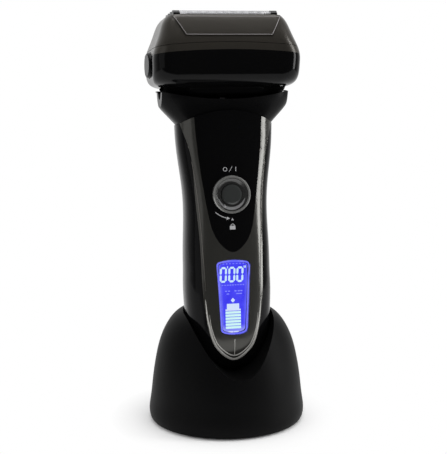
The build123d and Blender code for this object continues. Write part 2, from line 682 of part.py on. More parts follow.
core_leg = CORE_SLOT_X - CORE_SLOT / 2
with BuildPart() as motor_coil:
    with BuildSketch(Plane.XY.offset(core_bottom + CORE_YOKE + 0.4)):
        RectangleRounded(2 * (core_leg + CORE_SLOT - 0.6), 2 * COIL_HALF_DEPTH, 2.0)
        Rectangle(2 * (core_leg + 0.1), 2 * (CORE_HALF_DEPTH + 0.1), mode=Mode.SUBTRACT)
    extrude(amount=CORE_HEIGHT - CORE_YOKE - 1.4)
    fillet(motor_coil.edges().filter_by(Axis.X).group_by(Axis.Y)[-1], radius=0.5)
keep(motor_coil, "motor_coil")

with BuildPart() as drive_magnets:
    with BuildSketch(Plane.XY.offset(magnet_bottom)):
        with GridLocations(CORE_SLOT_X + 1.5, 1, 2, 1):
            Rectangle(CORE_SLOT_X - 0.5, 2 * MOVER_HALF_DEPTH - 1)
    extrude(amount=MAGNET_THICK)
keep(drive_magnets, "drive_magnets")

with BuildPart() as drive_mover:
    with BuildSketch(Plane.XY.offset(mover_bottom)):
        RectangleRounded(2 * MOVER_HALF, 2 * MOVER_HALF_DEPTH, 1.0)
    extrude(amount=MOVER_HEIGHT)
    with BuildSketch(Plane.XY.offset(tongue_z - MOVER_TONGUE / 2)):
        Rectangle(2 * MOVER_HALF - 4, 2 * MOVER_HALF_DEPTH + MOVER_TONGUE - 0.5)
    extrude(amount=MOVER_TONGUE)
    with BuildSketch(Plane.XY.offset(mover_bottom + 3)):
        Circle(DRIVE_PIN_R)
    extrude(amount=MOVER_HEIGHT, mode=Mode.SUBTRACT)
keep(drive_mover, "drive_mover")

with BuildPart() as drive_pin:
    with BuildSketch(Plane.XY.offset(mover_bottom + 3)):
        Circle(DRIVE_PIN_R)
    extrude(amount=DRIVE_PIN_TOP - mover_bottom - 3)
    fillet(drive_pin.edges().sort_by(Axis.Z)[-1], radius=1.2)
keep(drive_pin, "drive_pin")


def coil(origin, direction, length, radius, wire, turns):
    """A helical spring that starts at the origin and runs along the direction."""
    start = Vector(*origin) + Vector(*direction) * (wire / 2)
    height = length - wire
    with BuildPart() as spring:
        with BuildLine() as path:
            Helix(pitch=height / turns, height=height, radius=radius, center=start, direction=direction)
        with BuildSketch(Plane(origin=path.line @ 0, z_dir=path.line % 0)):
            Circle(wire / 2)
        sweep(path=path.line)
    return spring


spring_room = CHASSIS_HALF - RAIL_THICK - MOVER_HALF
with BuildPart() as drive_springs:
    for side in (-1, 1):
        add(coil((side * MOVER_HALF, 0, tongue_z), (side, 0, 0), spring_room, 2.4, 0.5, 3).part)
keep(drive_springs, "drive_springs")


# ---------------------------------------------------------------- charging socket
with BuildPart() as charging_socket:
    with BuildSketch(Plane.XY):
        RectangleRounded(SOCKET_WIDTH, SOCKET_DEPTH, 1.5 - FIT)
    extrude(amount=SOCKET_HEIGHT)
    with BuildSketch(Plane.XY.offset(SOCKET_FLANGE_Z)):
        RectangleRounded(SOCKET_WIDTH + 3, SOCKET_DEPTH + 3, 2)
    extrude(amount=1.5)
    with BuildSketch(Plane.XY):
        RectangleRounded(PLUG_WIDTH + 2 * PLUG_GAP, PLUG_DEPTH + 2 * PLUG_GAP, 0.8)
    extrude(amount=SOCKET_HEIGHT - 1.6, mode=Mode.SUBTRACT)
    with BuildSketch(Plane.XY):
        with GridLocations(CONTACT_PITCH, 1, 2, 1):
            Circle(CONTACT_R)
    extrude(amount=SOCKET_HEIGHT, mode=Mode.SUBTRACT)
keep(charging_socket, "charging_socket")

with BuildPart() as socket_pins:
    with BuildSketch(Plane.XY.offset(PIN_BOTTOM)):
        with GridLocations(CONTACT_PITCH, 1, 2, 1):
            Circle(CONTACT_R)
    extrude(amount=SOCKET_HEIGHT + 1 - PIN_BOTTOM)
keep(socket_pins, "socket_pins")


# ---------------------------------------------------------------- neck
with BuildPart() as rim_scoop:
    add(arch(NECK_RIM_FRONT, NECK_RIM_SIDE, NECK_RIM_HALF, 160))
    Box(100, 100, 400, align=(Align.CENTER, Align.MAX, Align.CENTER), mode=Mode.INTERSECT)

with BuildPart() as neck_upper:
    add(neck_solid(0))
    add(arch(CASE_CREST + FIT, CASE_SHOULDER + FIT, CASE_HALF_WIDTH, 160), mode=Mode.INTERSECT)
    add(arch(NECK_RIM_REAR, NECK_RIM_SIDE, NECK_RIM_HALF, 90), mode=Mode.INTERSECT)
    add(rim_scoop.part, mode=Mode.SUBTRACT)

with BuildPart() as neck_hollow:
    add(neck_solid(NECK_WALL))
    with Locations((0, 0, NECK_FLOOR_TOP)):
        Box(100, 100, 60, align=(Align.CENTER, Align.CENTER, Align.MIN), mode=Mode.INTERSECT)

with BuildPart() as neck_collar:
    add(works_room)
    with Locations((0, 0, SPIGOT_BOTTOM)):
        spigot_span = (100, 100, NECK_FLOOR_TOP - SPIGOT_BOTTOM)
        Box(*spigot_span, align=(Align.CENTER, Align.CENTER, Align.MIN), mode=Mode.INTERSECT)
    add(spigot_room, mode=Mode.SUBTRACT)
    add(neck_upper.part)
    add(neck_hollow.part, mode=Mode.SUBTRACT)
    with BuildSketch(Plane.XZ):
        with Locations(*UPPER_SCREWS):
            Circle(BOSS_R + FIT)
    extrude(amount=30, both=True, mode=Mode.SUBTRACT)
    with BuildSketch(Plane.XY.offset(NECK_FLOOR_TOP - 1)):
        with GridLocations(2 * POST_X, 1, 2, 1):
            Rectangle(POST_THICK, 2 * POST_HALF_DEPTH)
    extrude(amount=PIVOT_Z - NECK_FLOOR_TOP + 1)
    with BuildSketch(Plane.YZ):
        with Locations((0, PIVOT_Z)):
            Circle(POST_HALF_DEPTH)
    extrude(amount=POST_X + POST_THICK / 2, both=True)
    with BuildSketch(Plane.YZ):
        with Locations((0, PIVOT_Z)):
            Circle(POST_HALF_DEPTH + 1)
    extrude(amount=POST_X - POST_THICK / 2, both=True, mode=Mode.SUBTRACT)
    with BuildSketch(Plane.YZ):
        with Locations((0, PIVOT_Z)):
            Circle(PIVOT_PIN_R + PIN_CLEARANCE)
    extrude(amount=40, both=True, mode=Mode.SUBTRACT)
    with BuildSketch(Plane.XY.offset(NECK_FLOOR_TOP - 20)):
        RectangleRounded(2 * (DRIVE_PIN_R + STROKE + 0.5), 2 * (DRIVE_PIN_R + 0.5), 1.5)
    extrude(amount=30, mode=Mode.SUBTRACT)
keep(neck_collar, "neck_collar")

with BuildPart() as drive_seal:
    with BuildSketch(Plane.XY.offset(NECK_FLOOR_TOP)):
        RectangleRounded(2 * (DRIVE_PIN_R + STROKE + 2.5), 2 * (DRIVE_PIN_R + 2.5), 3)
        Circle(DRIVE_PIN_R + 0.02, mode=Mode.SUBTRACT)
    extrude(amount=1.0)
    with BuildSketch(Plane.XY.offset(NECK_FLOOR_TOP)):
        Circle(DRIVE_PIN_R + 1)
        Circle(DRIVE_PIN_R + 0.02, mode=Mode.SUBTRACT)
    extrude(amount=3.0)
keep(drive_seal, "drive_seal")


# ---------------------------------------------------------------- head housing and chassis
under_seam = arch(SEAM_CREST, SEAM_SIDE, SEAM_HALF, 110)
over_seam = arch(SEAM_CREST + SEAM_GAP, SEAM_SIDE + SEAM_GAP, SEAM_HALF, 190)
swing = sin(NOD * pi / 180) * (PIVOT_Z - HEAD_SECTIONS[0][0])

with BuildPart() as head_housing:
    add(head_form)
    add(head_inside, mode=Mode.SUBTRACT)
    add(under_seam, mode=Mode.INTERSECT)
    with BuildSketch(Plane.XY.offset(110)):
        with GridLocations(2 * POST_X, 1, 2, 1):
            RectangleRounded(POST_THICK + 1.2, 2 * (POST_HALF_DEPTH + swing + 0.5), 0.5)
        RectangleRounded(2 * (DRIVE_PIN_R + STROKE + 0.5), 2 * (DRIVE_PIN_R + swing + 0.5), 1.5)
    extrude(amount=28, mode=Mode.SUBTRACT)
    with BuildSketch(Plane.YZ):
        with Locations((0, RELEASE_Z)):
            Ellipse(RELEASE_WIDTH / 2 + SLIP, RELEASE_HEIGHT / 2 + SLIP)
    extrude(amount=60, both=True, mode=Mode.SUBTRACT)
keep(head_housing, "head_housing")

with BuildPart() as head_chassis:
    with BuildSketch(Plane.XY.offset(CHASSIS_PLATE_Z)):
        Rectangle(2 * CHASSIS_PLATE_HALF, 60)
        stem_room = (2 * (CARRIAGE_STEM_HALF + STROKE + 0.4), 2 * (CARRIAGE_STEM_DEPTH + 0.5))
        Rectangle(*stem_room, mode=Mode.SUBTRACT)
    extrude(amount=CHASSIS_PLATE_THICK)
    with BuildSketch(Plane.XY.offset(EAR_BOTTOM)):
        with GridLocations(2 * EAR_X, 1, 2, 1):
            Rectangle(EAR_THICK, 2 * POST_HALF_DEPTH)
        with GridLocations(2 * SPRING_WALL_X, 1, 2, 1):
            Rectangle(2.0, 15)
    extrude(amount=CHASSIS_PLATE_Z - EAR_BOTTOM)
    with BuildSketch(Plane.XY.offset(CHASSIS_PLATE_Z + CHASSIS_PLATE_THICK)):
        with GridLocations(1, 2 * (CARRIAGE_HALF_DEPTH + 0.5 + RAIL_THICK / 2), 1, 2):
            Rectangle(2 * CARRIAGE_HALF + 4, RAIL_THICK)
    extrude(amount=CARRIAGE_BOTTOM + CARRIAGE_THICK - CHASSIS_PLATE_Z - CHASSIS_PLATE_THICK)
    with BuildSketch(Plane.XY.offset(CHASSIS_PLATE_Z + CHASSIS_PLATE_THICK)):
        with GridLocations(1, 2 * (CARRIAGE_HALF_DEPTH - 0.6), 1, 2):
            Rectangle(2 * CARRIAGE_HALF + 4, 2.4)
    extrude(amount=CARRIAGE_BOTTOM - 0.1 - CHASSIS_PLATE_Z - CHASSIS_PLATE_THICK)
    with BuildSketch(Plane.YZ):
        with Locations((0, PIVOT_Z)):
            Circle(PIVOT_PIN_R)
    extrude(amount=SPRING_WALL_X - 1, both=True, mode=Mode.SUBTRACT)
    add(head_room, mode=Mode.INTERSECT)
keep(head_chassis, "head_chassis")

for side, name in ((-1, "pivot_pin_left"), (1, "pivot_pin_right")):
    inner = POST_X - POST_THICK / 2
    with BuildPart() as pivot_pin:
        with BuildSketch(Plane.YZ.offset(side * inner)):
            with Locations((0, PIVOT_Z)):
                Circle(PIVOT_PIN_R)
        extrude(amount=side * (SPRING_WALL_X - 1 - inner))
    keep(pivot_pin, name)


# ---------------------------------------------------------------- release buttons
for side, name in ((-1, "release_button_left"), (1, "release_button_right")):
    with BuildPart() as release:
        with BuildSketch(Plane.YZ.offset(side * RELEASE_BACK)):
            with Locations((0, RELEASE_Z)):
                Ellipse(RELEASE_WIDTH / 2, RELEASE_HEIGHT / 2)
        extrude(amount=side * (RELEASE_FACE - RELEASE_BACK))
        fillet(release.edges().sort_by(Axis.X)[-1 if side > 0 else 0], radius=0.9)
        with BuildSketch(Plane.YZ.offset(side * RELEASE_BACK)):
            with Locations((0, RELEASE_Z)):
                Ellipse(RELEASE_WIDTH / 2 + 0.9, RELEASE_HEIGHT / 2 + 0.7)
        extrude(amount=side * RELEASE_FLANGE)
    keep(release, name)

for side, name in ((-1, "release_spring_left"), (1, "release_spring_right")):
    seat_x = SPRING_WALL_X + 1.0
    keep(coil((side * seat_x, 0, RELEASE_Z), (side, 0, 0), RELEASE_BACK - seat_x, 3.0, 0.6, 4), name)


# ---------------------------------------------------------------- foil cassette
head_top = HEAD_SECTIONS[-1][0]
rows = [FOIL_PITCH * (i - (FOIL_COUNT - 1) / 2) for i in range(FOIL_COUNT)]
foil_z = FOIL_TOP - FOIL_R
carrier_depth = rows[-1] + FOIL_R + 0.85
foil_bottom = foil_z - FOIL_LEG

with BuildPart() as facet_front:
    with BuildSketch(Plane.XZ):
        with BuildLine():
            right = [(FACET_BOTTOM_HALF, FACET_BOTTOM), (FACET_TOP_HALF, FACET_SHOULDER)]
            right += [(FACET_TOP_HALF, head_top + 6)]
            left = [(-x, z) for x, z in reversed(right)]
            Polyline(*right, *left, close=True)
        make_face()
    extrude(amount=60, both=True)
    add(head_solid(-FACET_RISE), mode=Mode.INTERSECT)
    with Locations((0, 0, head_top)):
        Box(100, 100, 60, align=(Align.CENTER, Align.CENTER, Align.MAX), mode=Mode.INTERSECT)

with BuildPart() as foil_frame:
    add(head_form)
    add(facet_front.part)
    add(frame_inside, mode=Mode.SUBTRACT)
    add(over_seam, mode=Mode.INTERSECT)
    with BuildSketch(Plane.XY.offset(head_top - 10)):
        RectangleRounded(2 * (CARRIER_HALF + FIT), 2 * (carrier_depth + FIT), 1.5)
    extrude(amount=20, mode=Mode.SUBTRACT)
    with BuildSketch(Plane.XY.offset(TAB_BOTTOM)):
        with GridLocations(2 * TAB_X, 2 * TAB_Y, 2, 2):
            Rectangle(TAB_THICK, TAB_WIDTH)
    extrude(amount=TAB_TOP - TAB_BOTTOM)
keep(foil_frame, "foil_frame")

with BuildPart() as foil_carrier:
    with BuildSketch(Plane.XY.offset(foil_bottom)):
        RectangleRounded(2 * CARRIER_HALF, 2 * carrier_depth, 1.5 - FIT)
        Rectangle(2 * FOIL_HALF_LENGTH, 2 * (rows[-1] + FOIL_R + 0.05), mode=Mode.SUBTRACT)
        for row, following in zip(rows, rows[1:]):
            with Locations((0, (row + following) / 2)):
                Rectangle(2 * FOIL_HALF_LENGTH + 1, FOIL_PITCH - 2 * FOIL_R - 0.1)
    extrude(amount=head_top - 0.6 - foil_bottom)
    with BuildSketch(Plane.XY.offset(head_top - HEAD_WALL - 2.1)):
        RectangleRounded(2 * (CARRIER_HALF + CARRIER_LIP), 2 * (carrier_depth + CARRIER_LIP), 4)
        Rectangle(2 * FOIL_HALF_LENGTH + 2, 2 * carrier_depth - 0.8, mode=Mode.SUBTRACT)
    extrude(amount=2.0)
    for start in (-CARRIER_HALF, FOIL_HALF_LENGTH):
        with BuildSketch(Plane.YZ.offset(start)):
            with Locations((0, head_top - 1)):
                Rectangle(2 * (rows[-1] + FOIL_R), foil_z - head_top + 2.5, align=(Align.CENTER, Align.MIN))
            with Locations(*[(row, foil_z) for row in rows]):
                Circle(FOIL_R + 0.1)
        extrude(amount=END_CAP_LENGTH)
keep(foil_carrier, "foil_carrier")

for number, row in enumerate(rows, start=1):
    with BuildPart() as foil:
        with BuildSketch(Plane.YZ.offset(-FOIL_HALF_LENGTH)):
            for radius, mode in ((FOIL_R, Mode.ADD), (FOIL_R - FOIL_THICK, Mode.SUBTRACT)):
                with Locations((row, foil_z)):
                    Circle(radius, mode=mode)
                    Rectangle(2 * radius, FOIL_LEG, align=(Align.CENTER, Align.MAX), mode=mode)
        extrude(amount=2 * FOIL_HALF_LENGTH)
    keep(foil, f"foil_{number}")


# ---------------------------------------------------------------- cutters
blade_r = FOIL_R - FOIL_THICK - CUTTER_GAP
lamella_count = int(2 * CUTTER_HALF_LENGTH / LAMELLA_PITCH)
blade_bottom = CARRIAGE_BOTTOM + CARRIAGE_THICK + BLADE_HOLDER

with BuildPart() as cutter_carriage:
    with BuildSketch(Plane.XY.offset(CARRIAGE_BOTTOM)):
        RectangleRounded(2 * CARRIAGE_HALF, 2 * CARRIAGE_HALF_DEPTH, 2)
    extrude(amount=CARRIAGE_THICK)
    with BuildSketch(Plane.XY.offset(CARRIAGE_BOTTOM + CARRIAGE_THICK)):
        with Locations(*[(0, row) for row in rows]):
            Rectangle(2 * CARRIAGE_HALF - 4, 2 * BLADE_BASE)
    extrude(amount=BLADE_HOLDER)
    with BuildSketch(Plane.XY.offset(CARRIAGE_STEM_BOTTOM)):
        RectangleRounded(2 * CARRIAGE_STEM_HALF, 2 * CARRIAGE_STEM_DEPTH, 1)
    extrude(amount=CARRIAGE_BOTTOM - CARRIAGE_STEM_BOTTOM)
    with BuildSketch(Plane.XY.offset(CARRIAGE_STEM_BOTTOM)):
        Rectangle(2 * (DRIVE_PIN_R + PIN_CLEARANCE), 2 * (DRIVE_PIN_R + NOD_ROOM))
    extrude(amount=DRIVE_PIN_TOP + 1.5 - CARRIAGE_STEM_BOTTOM, mode=Mode.SUBTRACT)
keep(cutter_carriage, "cutter_carriage")

for number, row in enumerate(rows, start=1):
    with BuildPart() as blade:
        with BuildSketch(Plane.YZ.offset(-CUTTER_HALF_LENGTH)):
            with Locations((row, foil_z)):
                Circle(blade_r - 0.7)
            with Locations((row, blade_bottom)):
                Rectangle(2 * BLADE_BASE, foil_z - blade_bottom, align=(Align.CENTER, Align.MIN))
        extrude(amount=2 * CUTTER_HALF_LENGTH)
        for index in range(lamella_count):
            middle = LAMELLA_PITCH * (index - (lamella_count - 1) / 2)
            with BuildSketch(Plane.YZ.offset(middle - LAMELLA_THICK / 2)):
                with Locations((row, foil_z)):
                    Circle(blade_r)
                    Rectangle(2 * blade_r, 2 * blade_r, align=(Align.CENTER, Align.MAX), mode=Mode.SUBTRACT)
            extrude(amount=LAMELLA_THICK)
    keep(blade, f"inner_blade_{number}")


# ---------------------------------------------------------------- stand
lean_spot = Location(SEAT, (-LEAN, 0, 0))


def notch_face(grow):
    """The U-shaped notch in the stand's front: a parabola, grown outwards by grow."""
    outline = []
    for x in (-1.3, -1.0, -0.66, -0.33, 0.0, 0.33, 0.66, 1.0, 1.3):
        slope = 2 * (NOTCH_TOP - NOTCH_BOTTOM) * x / NOTCH_HALF
        length = sqrt(1 + slope**2)
        height = NOTCH_BOTTOM + (NOTCH_TOP - NOTCH_BOTTOM) * x**2
        outline.append((NOTCH_HALF * x + grow * slope / length, height - grow / length))
    with BuildSketch(Plane.XZ) as face:
        with BuildLine():
            Spline(*outline)
            Line(outline[-1], outline[0])
        make_face()
    return face.sketch


pocket = case_solid(-POCKET_GAP).moved(lean_spot)
pocket_wall = case_solid(-POCKET_GAP - STAND_WALL).moved(lean_spot)
stand_form = stand_solid(0)
base_half_width = STAND_HALF_WIDTH - STAND_SECTIONS[0][1] - STAND_WALL
base_half_depth = STAND_HALF_DEPTH - STAND_SECTIONS[0][2] - STAND_WALL

with BuildPart() as stand_lining:
    add(pocket_wall)
    add(front_block(notch_face(STAND_WALL), depth=60))
    add(stand_form, mode=Mode.INTERSECT)

with BuildPart() as stand_shell:
    add(stand_form)
    add(stand_solid(STAND_WALL), mode=Mode.SUBTRACT)
    with Locations((0, 0, STAND_BOTTOM)):
        Box(100, 100, 90, align=(Align.CENTER, Align.CENTER, Align.MIN), mode=Mode.INTERSECT)
    with BuildSketch(Plane.XY.offset(STAND_BOTTOM + BASE_THICK + 0.1)):
        with GridLocations(2 * STAND_SCREW_X, 2 * STAND_SCREW_Y, 2, 2):
            Circle(STAND_BOSS_R)
    extrude(amount=60)
    add(stand_form, mode=Mode.INTERSECT)
    add(stand_lining.part)
    with BuildSketch(Plane.XY.offset(STAND_BOTTOM)):
        with GridLocations(2 * STAND_SCREW_X, 2 * STAND_SCREW_Y, 2, 2):
            Circle(STAND_SCREW_R)
    extrude(amount=STAND_SCREW_LENGTH + 1, mode=Mode.SUBTRACT)
    add(pocket, mode=Mode.SUBTRACT)
    add(front_block(notch_face(0), depth=60), mode=Mode.SUBTRACT)
    with BuildSketch(Plane.XY):
        Ellipse(base_half_width, base_half_depth)
    extrude(amount=STAND_BOTTOM + BASE_THICK + 0.1, mode=Mode.SUBTRACT)
    with BuildSketch(Plane.XZ):
        with Locations((0, JACK_Z)):
            Circle(JACK_R + FIT)
    extrude(amount=-60, mode=Mode.SUBTRACT)
    with BuildSketch(Plane(lean_spot)):
        RectangleRounded(PLUG_WIDTH + 2 * FIT, PLUG_DEPTH + 2 * FIT, 0.5)
    extrude(amount=-12, mode=Mode.SUBTRACT)
keep(stand_shell, "stand_shell", leans=False)

base_top = STAND_BOTTOM + BASE_THICK
with BuildPart() as stand_base_plate:
    with BuildSketch(Plane.XY.offset(STAND_BOTTOM)):
        Ellipse(base_half_width - FIT, base_half_depth - FIT)
    extrude(amount=BASE_THICK)
    with BuildSketch(Plane.XY.offset(base_top)):
        with GridLocations(BOARD_POST_X, BOARD_POST_Y, 2, 2):
            Circle(2)
    extrude(amount=STAND_BOARD_Z - base_top)
    with BuildSketch(Plane.XY.offset(base_top)):
        with Locations((0, JACK_FRONT)):
            Rectangle(JACK_WIDTH, JACK_LENGTH - 1, align=(Align.CENTER, Align.MIN))
    extrude(amount=JACK_Z - JACK_HEIGHT / 2 - base_top)
    with BuildSketch(Plane.XY.offset(STAND_BOTTOM)):
        with GridLocations(2 * FOOT_X, 2 * FOOT_Y, 2, 2):
            Circle(FOOT_R + FIT)
    extrude(amount=FOOT_THICK - STAND_BOTTOM, mode=Mode.SUBTRACT)
    with BuildSketch(Plane.XY.offset(STAND_BOTTOM)):
        with GridLocations(2 * STAND_SCREW_X, 2 * STAND_SCREW_Y, 2, 2):
            Circle(STAND_SCREW_HEAD_R + FIT)
    extrude(amount=1.1, mode=Mode.SUBTRACT)
    with BuildSketch(Plane.XY.offset(STAND_BOTTOM)):
        with GridLocations(2 * STAND_SCREW_X, 2 * STAND_SCREW_Y, 2, 2):
            Circle(STAND_SCREW_R + 0.2)
    extrude(amount=BASE_THICK, mode=Mode.SUBTRACT)
keep(stand_base_plate, "stand_base_plate", leans=False)

corners = [(x, y) for x in (-FOOT_X, FOOT_X) for y in (-FOOT_Y, FOOT_Y)]
for number, corner in enumerate(corners, start=1):
    with BuildPart() as foot:
        with BuildSketch(Plane.XY):
            with Locations(corner):
                Circle(FOOT_R)
        extrude(amount=FOOT_THICK)
        chamfer(foot.edges().sort_by(Axis.Z)[0], length=0.3)
    keep(foot, f"stand_foot_{number}", leans=False)

with BuildPart() as stand_screws:
    with BuildSketch(Plane.XY.offset(STAND_BOTTOM + 1.1)):
        with GridLocations(2 * STAND_SCREW_X, 2 * STAND_SCREW_Y, 2, 2):
            Circle(STAND_SCREW_R)
    extrude(amount=STAND_SCREW_LENGTH - 1.1)
    with BuildSketch(Plane.XY.offset(STAND_BOTTOM + 0.1)):
        with GridLocations(2 * STAND_SCREW_X, 2 * STAND_SCREW_Y, 2, 2):
            Circle(STAND_SCREW_HEAD_R)
    extrude(amount=1.0)
    with BuildSketch(Plane.XY.offset(STAND_BOTTOM + 0.1)):
        with GridLocations(2 * STAND_SCREW_X, 2 * STAND_SCREW_Y, 2, 2):
            Rectangle(3, 0.7)
            Rectangle(0.7, 3)
    extrude(amount=0.6, mode=Mode.SUBTRACT)
keep(stand_screws, "stand_screws", leans=False)

with BuildPart() as stand_ballast:
    with BuildSketch(Plane.XY.offset(base_top)):
        with Locations((0, BALLAST_Y)):
            RectangleRounded(BALLAST_WIDTH, BALLAST_DEPTH, 2)
    extrude(amount=BALLAST_THICK)
keep(stand_ballast, "stand_ballast", leans=False)

with BuildPart() as stand_board:
    with BuildSketch(Plane.XY.offset(STAND_BOARD_Z)):
        RectangleRounded(BOARD_POST_X + 6, BOARD_POST_Y + 6, 2)
    extrude(amount=BOARD_THICK)
keep(stand_board, "stand_board", leans=False)

plug_floor = -POCKET_GAP - STAND_WALL
with BuildPart() as stand_plug:
    with BuildSketch(Plane.XY.offset(plug_floor - PLUG_FLANGE - 3)):
        RectangleRounded(PLUG_WIDTH, PLUG_DEPTH, 0.5 - FIT / 2)
    extrude(amount=PLUG_TOP - plug_floor + PLUG_FLANGE + 3)
    with BuildSketch(Plane.XY.offset(plug_floor - PLUG_FLANGE)):
        RectangleRounded(PLUG_WIDTH + 5, PLUG_DEPTH + 5, 1.5)
    extrude(amount=PLUG_FLANGE - 0.05)
    with BuildSketch(Plane.XY.offset(plug_floor - PLUG_FLANGE - 3)):
        with GridLocations(CONTACT_PITCH, 1, 2, 1):
            Circle(CONTACT_R + 0.35)
    extrude(amount=20, mode=Mode.SUBTRACT)
keep(stand_plug, "stand_plug")

contact_bottom = (STAND_BOARD_Z + BOARD_THICK + CONTACT_LIFT - SEAT[2]) / cos(LEAN * pi / 180)
with BuildPart() as stand_contacts:
    with BuildSketch(Plane.XY.offset(contact_bottom)):
        with GridLocations(CONTACT_PITCH, 1, 2, 1):
            Circle(CONTACT_R + 0.35)
    extrude(amount=PIN_BOTTOM - 0.2 - contact_bottom)
keep(stand_contacts, "stand_contacts")

with BuildPart() as dc_jack:
    with BuildSketch(Plane.XY.offset(JACK_Z - JACK_HEIGHT / 2)):
        with Locations((0, JACK_FRONT)):
            Rectangle(JACK_WIDTH, JACK_LENGTH, align=(Align.CENTER, Align.MIN))
    extrude(amount=JACK_HEIGHT)
    with BuildSketch(Plane.XZ.offset(-JACK_FRONT)):
        with Locations((0, JACK_Z)):
            Circle(JACK_R)
    extrude(amount=-(JACK_MOUTH - JACK_FRONT))
    with BuildSketch(Plane.XZ.offset(-JACK_MOUTH)):
        with Locations((0, JACK_Z)):
            Circle(JACK_BORE_R)
    extrude(amount=JACK_BORE_DEPTH, mode=Mode.SUBTRACT)
keep(dc_jack, "dc_jack", leans=False)

with BuildPart() as dc_jack_pin:
    with BuildSketch(Plane.XZ.offset(-(JACK_MOUTH - JACK_BORE_DEPTH))):
        with Locations((0, JACK_Z)):
            Circle(JACK_PIN_R)
    extrude(amount=-(JACK_BORE_DEPTH - 1))
keep(dc_jack_pin, "dc_jack_pin", leans=False)


# ---------------------------------------------------------------- writing the pieces
for name, (part, leans) in pieces.items():
    placed = part.moved(lean_spot) if leans else part
    placed.label = name
    export_step(placed, f"parts/{name}.step")
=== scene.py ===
from math import cos, pi, radians, sin

import bpy
import numpy as np
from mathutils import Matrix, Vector
from mathutils.bvhtree import BVHTree


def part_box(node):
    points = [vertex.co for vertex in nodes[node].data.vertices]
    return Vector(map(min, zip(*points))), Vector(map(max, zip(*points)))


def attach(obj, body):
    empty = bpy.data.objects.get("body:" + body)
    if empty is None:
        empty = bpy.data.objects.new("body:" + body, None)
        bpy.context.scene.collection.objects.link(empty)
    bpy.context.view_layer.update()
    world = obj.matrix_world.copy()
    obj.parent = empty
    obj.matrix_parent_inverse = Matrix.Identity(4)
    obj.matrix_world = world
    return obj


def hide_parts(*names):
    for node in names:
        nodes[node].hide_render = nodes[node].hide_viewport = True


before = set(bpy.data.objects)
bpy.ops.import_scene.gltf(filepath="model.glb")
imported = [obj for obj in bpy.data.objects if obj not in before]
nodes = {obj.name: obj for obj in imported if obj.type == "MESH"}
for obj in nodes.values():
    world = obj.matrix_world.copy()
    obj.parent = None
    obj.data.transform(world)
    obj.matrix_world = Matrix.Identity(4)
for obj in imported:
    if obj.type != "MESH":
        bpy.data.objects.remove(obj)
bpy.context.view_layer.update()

# ------------------------------------------------------------------ the view
# The viewer stands half a metre away, a little to the left, and looks slightly down
# on the shaver from the height of its foils.
VIEW_AZIMUTH = radians(-12.16)
VIEW_DISTANCE = 0.5
VIEW_HEIGHT = 0.1806
VIEW_TILT = radians(10.03)
VIEW_SHIFT = -0.0065
SENSOR = 36.0
LENS = 85.6

lens = bpy.data.cameras.new("view")
lens.sensor_width = SENSOR
lens.lens = LENS
lens.shift_x = VIEW_SHIFT
lens.clip_start = 0.01
camera = bpy.data.objects.new("view", lens)
bpy.context.scene.collection.objects.link(camera)
camera.location = (VIEW_DISTANCE * sin(VIEW_AZIMUTH), -VIEW_DISTANCE * cos(VIEW_AZIMUTH), VIEW_HEIGHT)
camera.rotation_euler = (pi / 2 - VIEW_TILT, 0, VIEW_AZIMUTH)
bpy.context.scene.camera = camera
bpy.context.scene.view_settings.view_transform = "Standard"


# ------------------------------------------------------------------ floor and studio
# A white table runs out to white on all sides, so that only the soft shadow round the
# stand shows. Broad lamps stand at both sides and overhead; the side behind the viewer is dark.
class Value:
    """A shader socket. Sums, products and powers of it add the Math nodes that work them out."""

    def __init__(self, recipe, socket):
        self.recipe = recipe
        self.socket = socket

    def maths(self, operation, first, second):
        """The result of a Math node."""
        return self.recipe.node("ShaderNodeMath", {"operation": operation}, {0: first, 1: second})[0]

    def __add__(self, other):
        return self.maths("ADD", self, other)

    def __radd__(self, other):
        return self.maths("ADD", other, self)

    def __sub__(self, other):
        return self.maths("SUBTRACT", self, other)

    def __rsub__(self, other):
        return self.maths("SUBTRACT", other, self)

    def __mul__(self, other):
        return self.maths("MULTIPLY", self, other)

    def __rmul__(self, other):
        return self.maths("MULTIPLY", other, self)

    def __truediv__(self, other):
        return self.maths("DIVIDE", self, other)

    def __pow__(self, other):
        return self.maths("POWER", self, other)

    def clamped(self):
        """The value held between 0 and 1."""
        return self.maths("MINIMUM", self.maths("MAXIMUM", self, 0.0), 1.0)

    def between(self, low, high):
        """0 below low, 1 above high and a straight ramp from one to the other."""
        return ((self - low) / (high - low)).clamped()


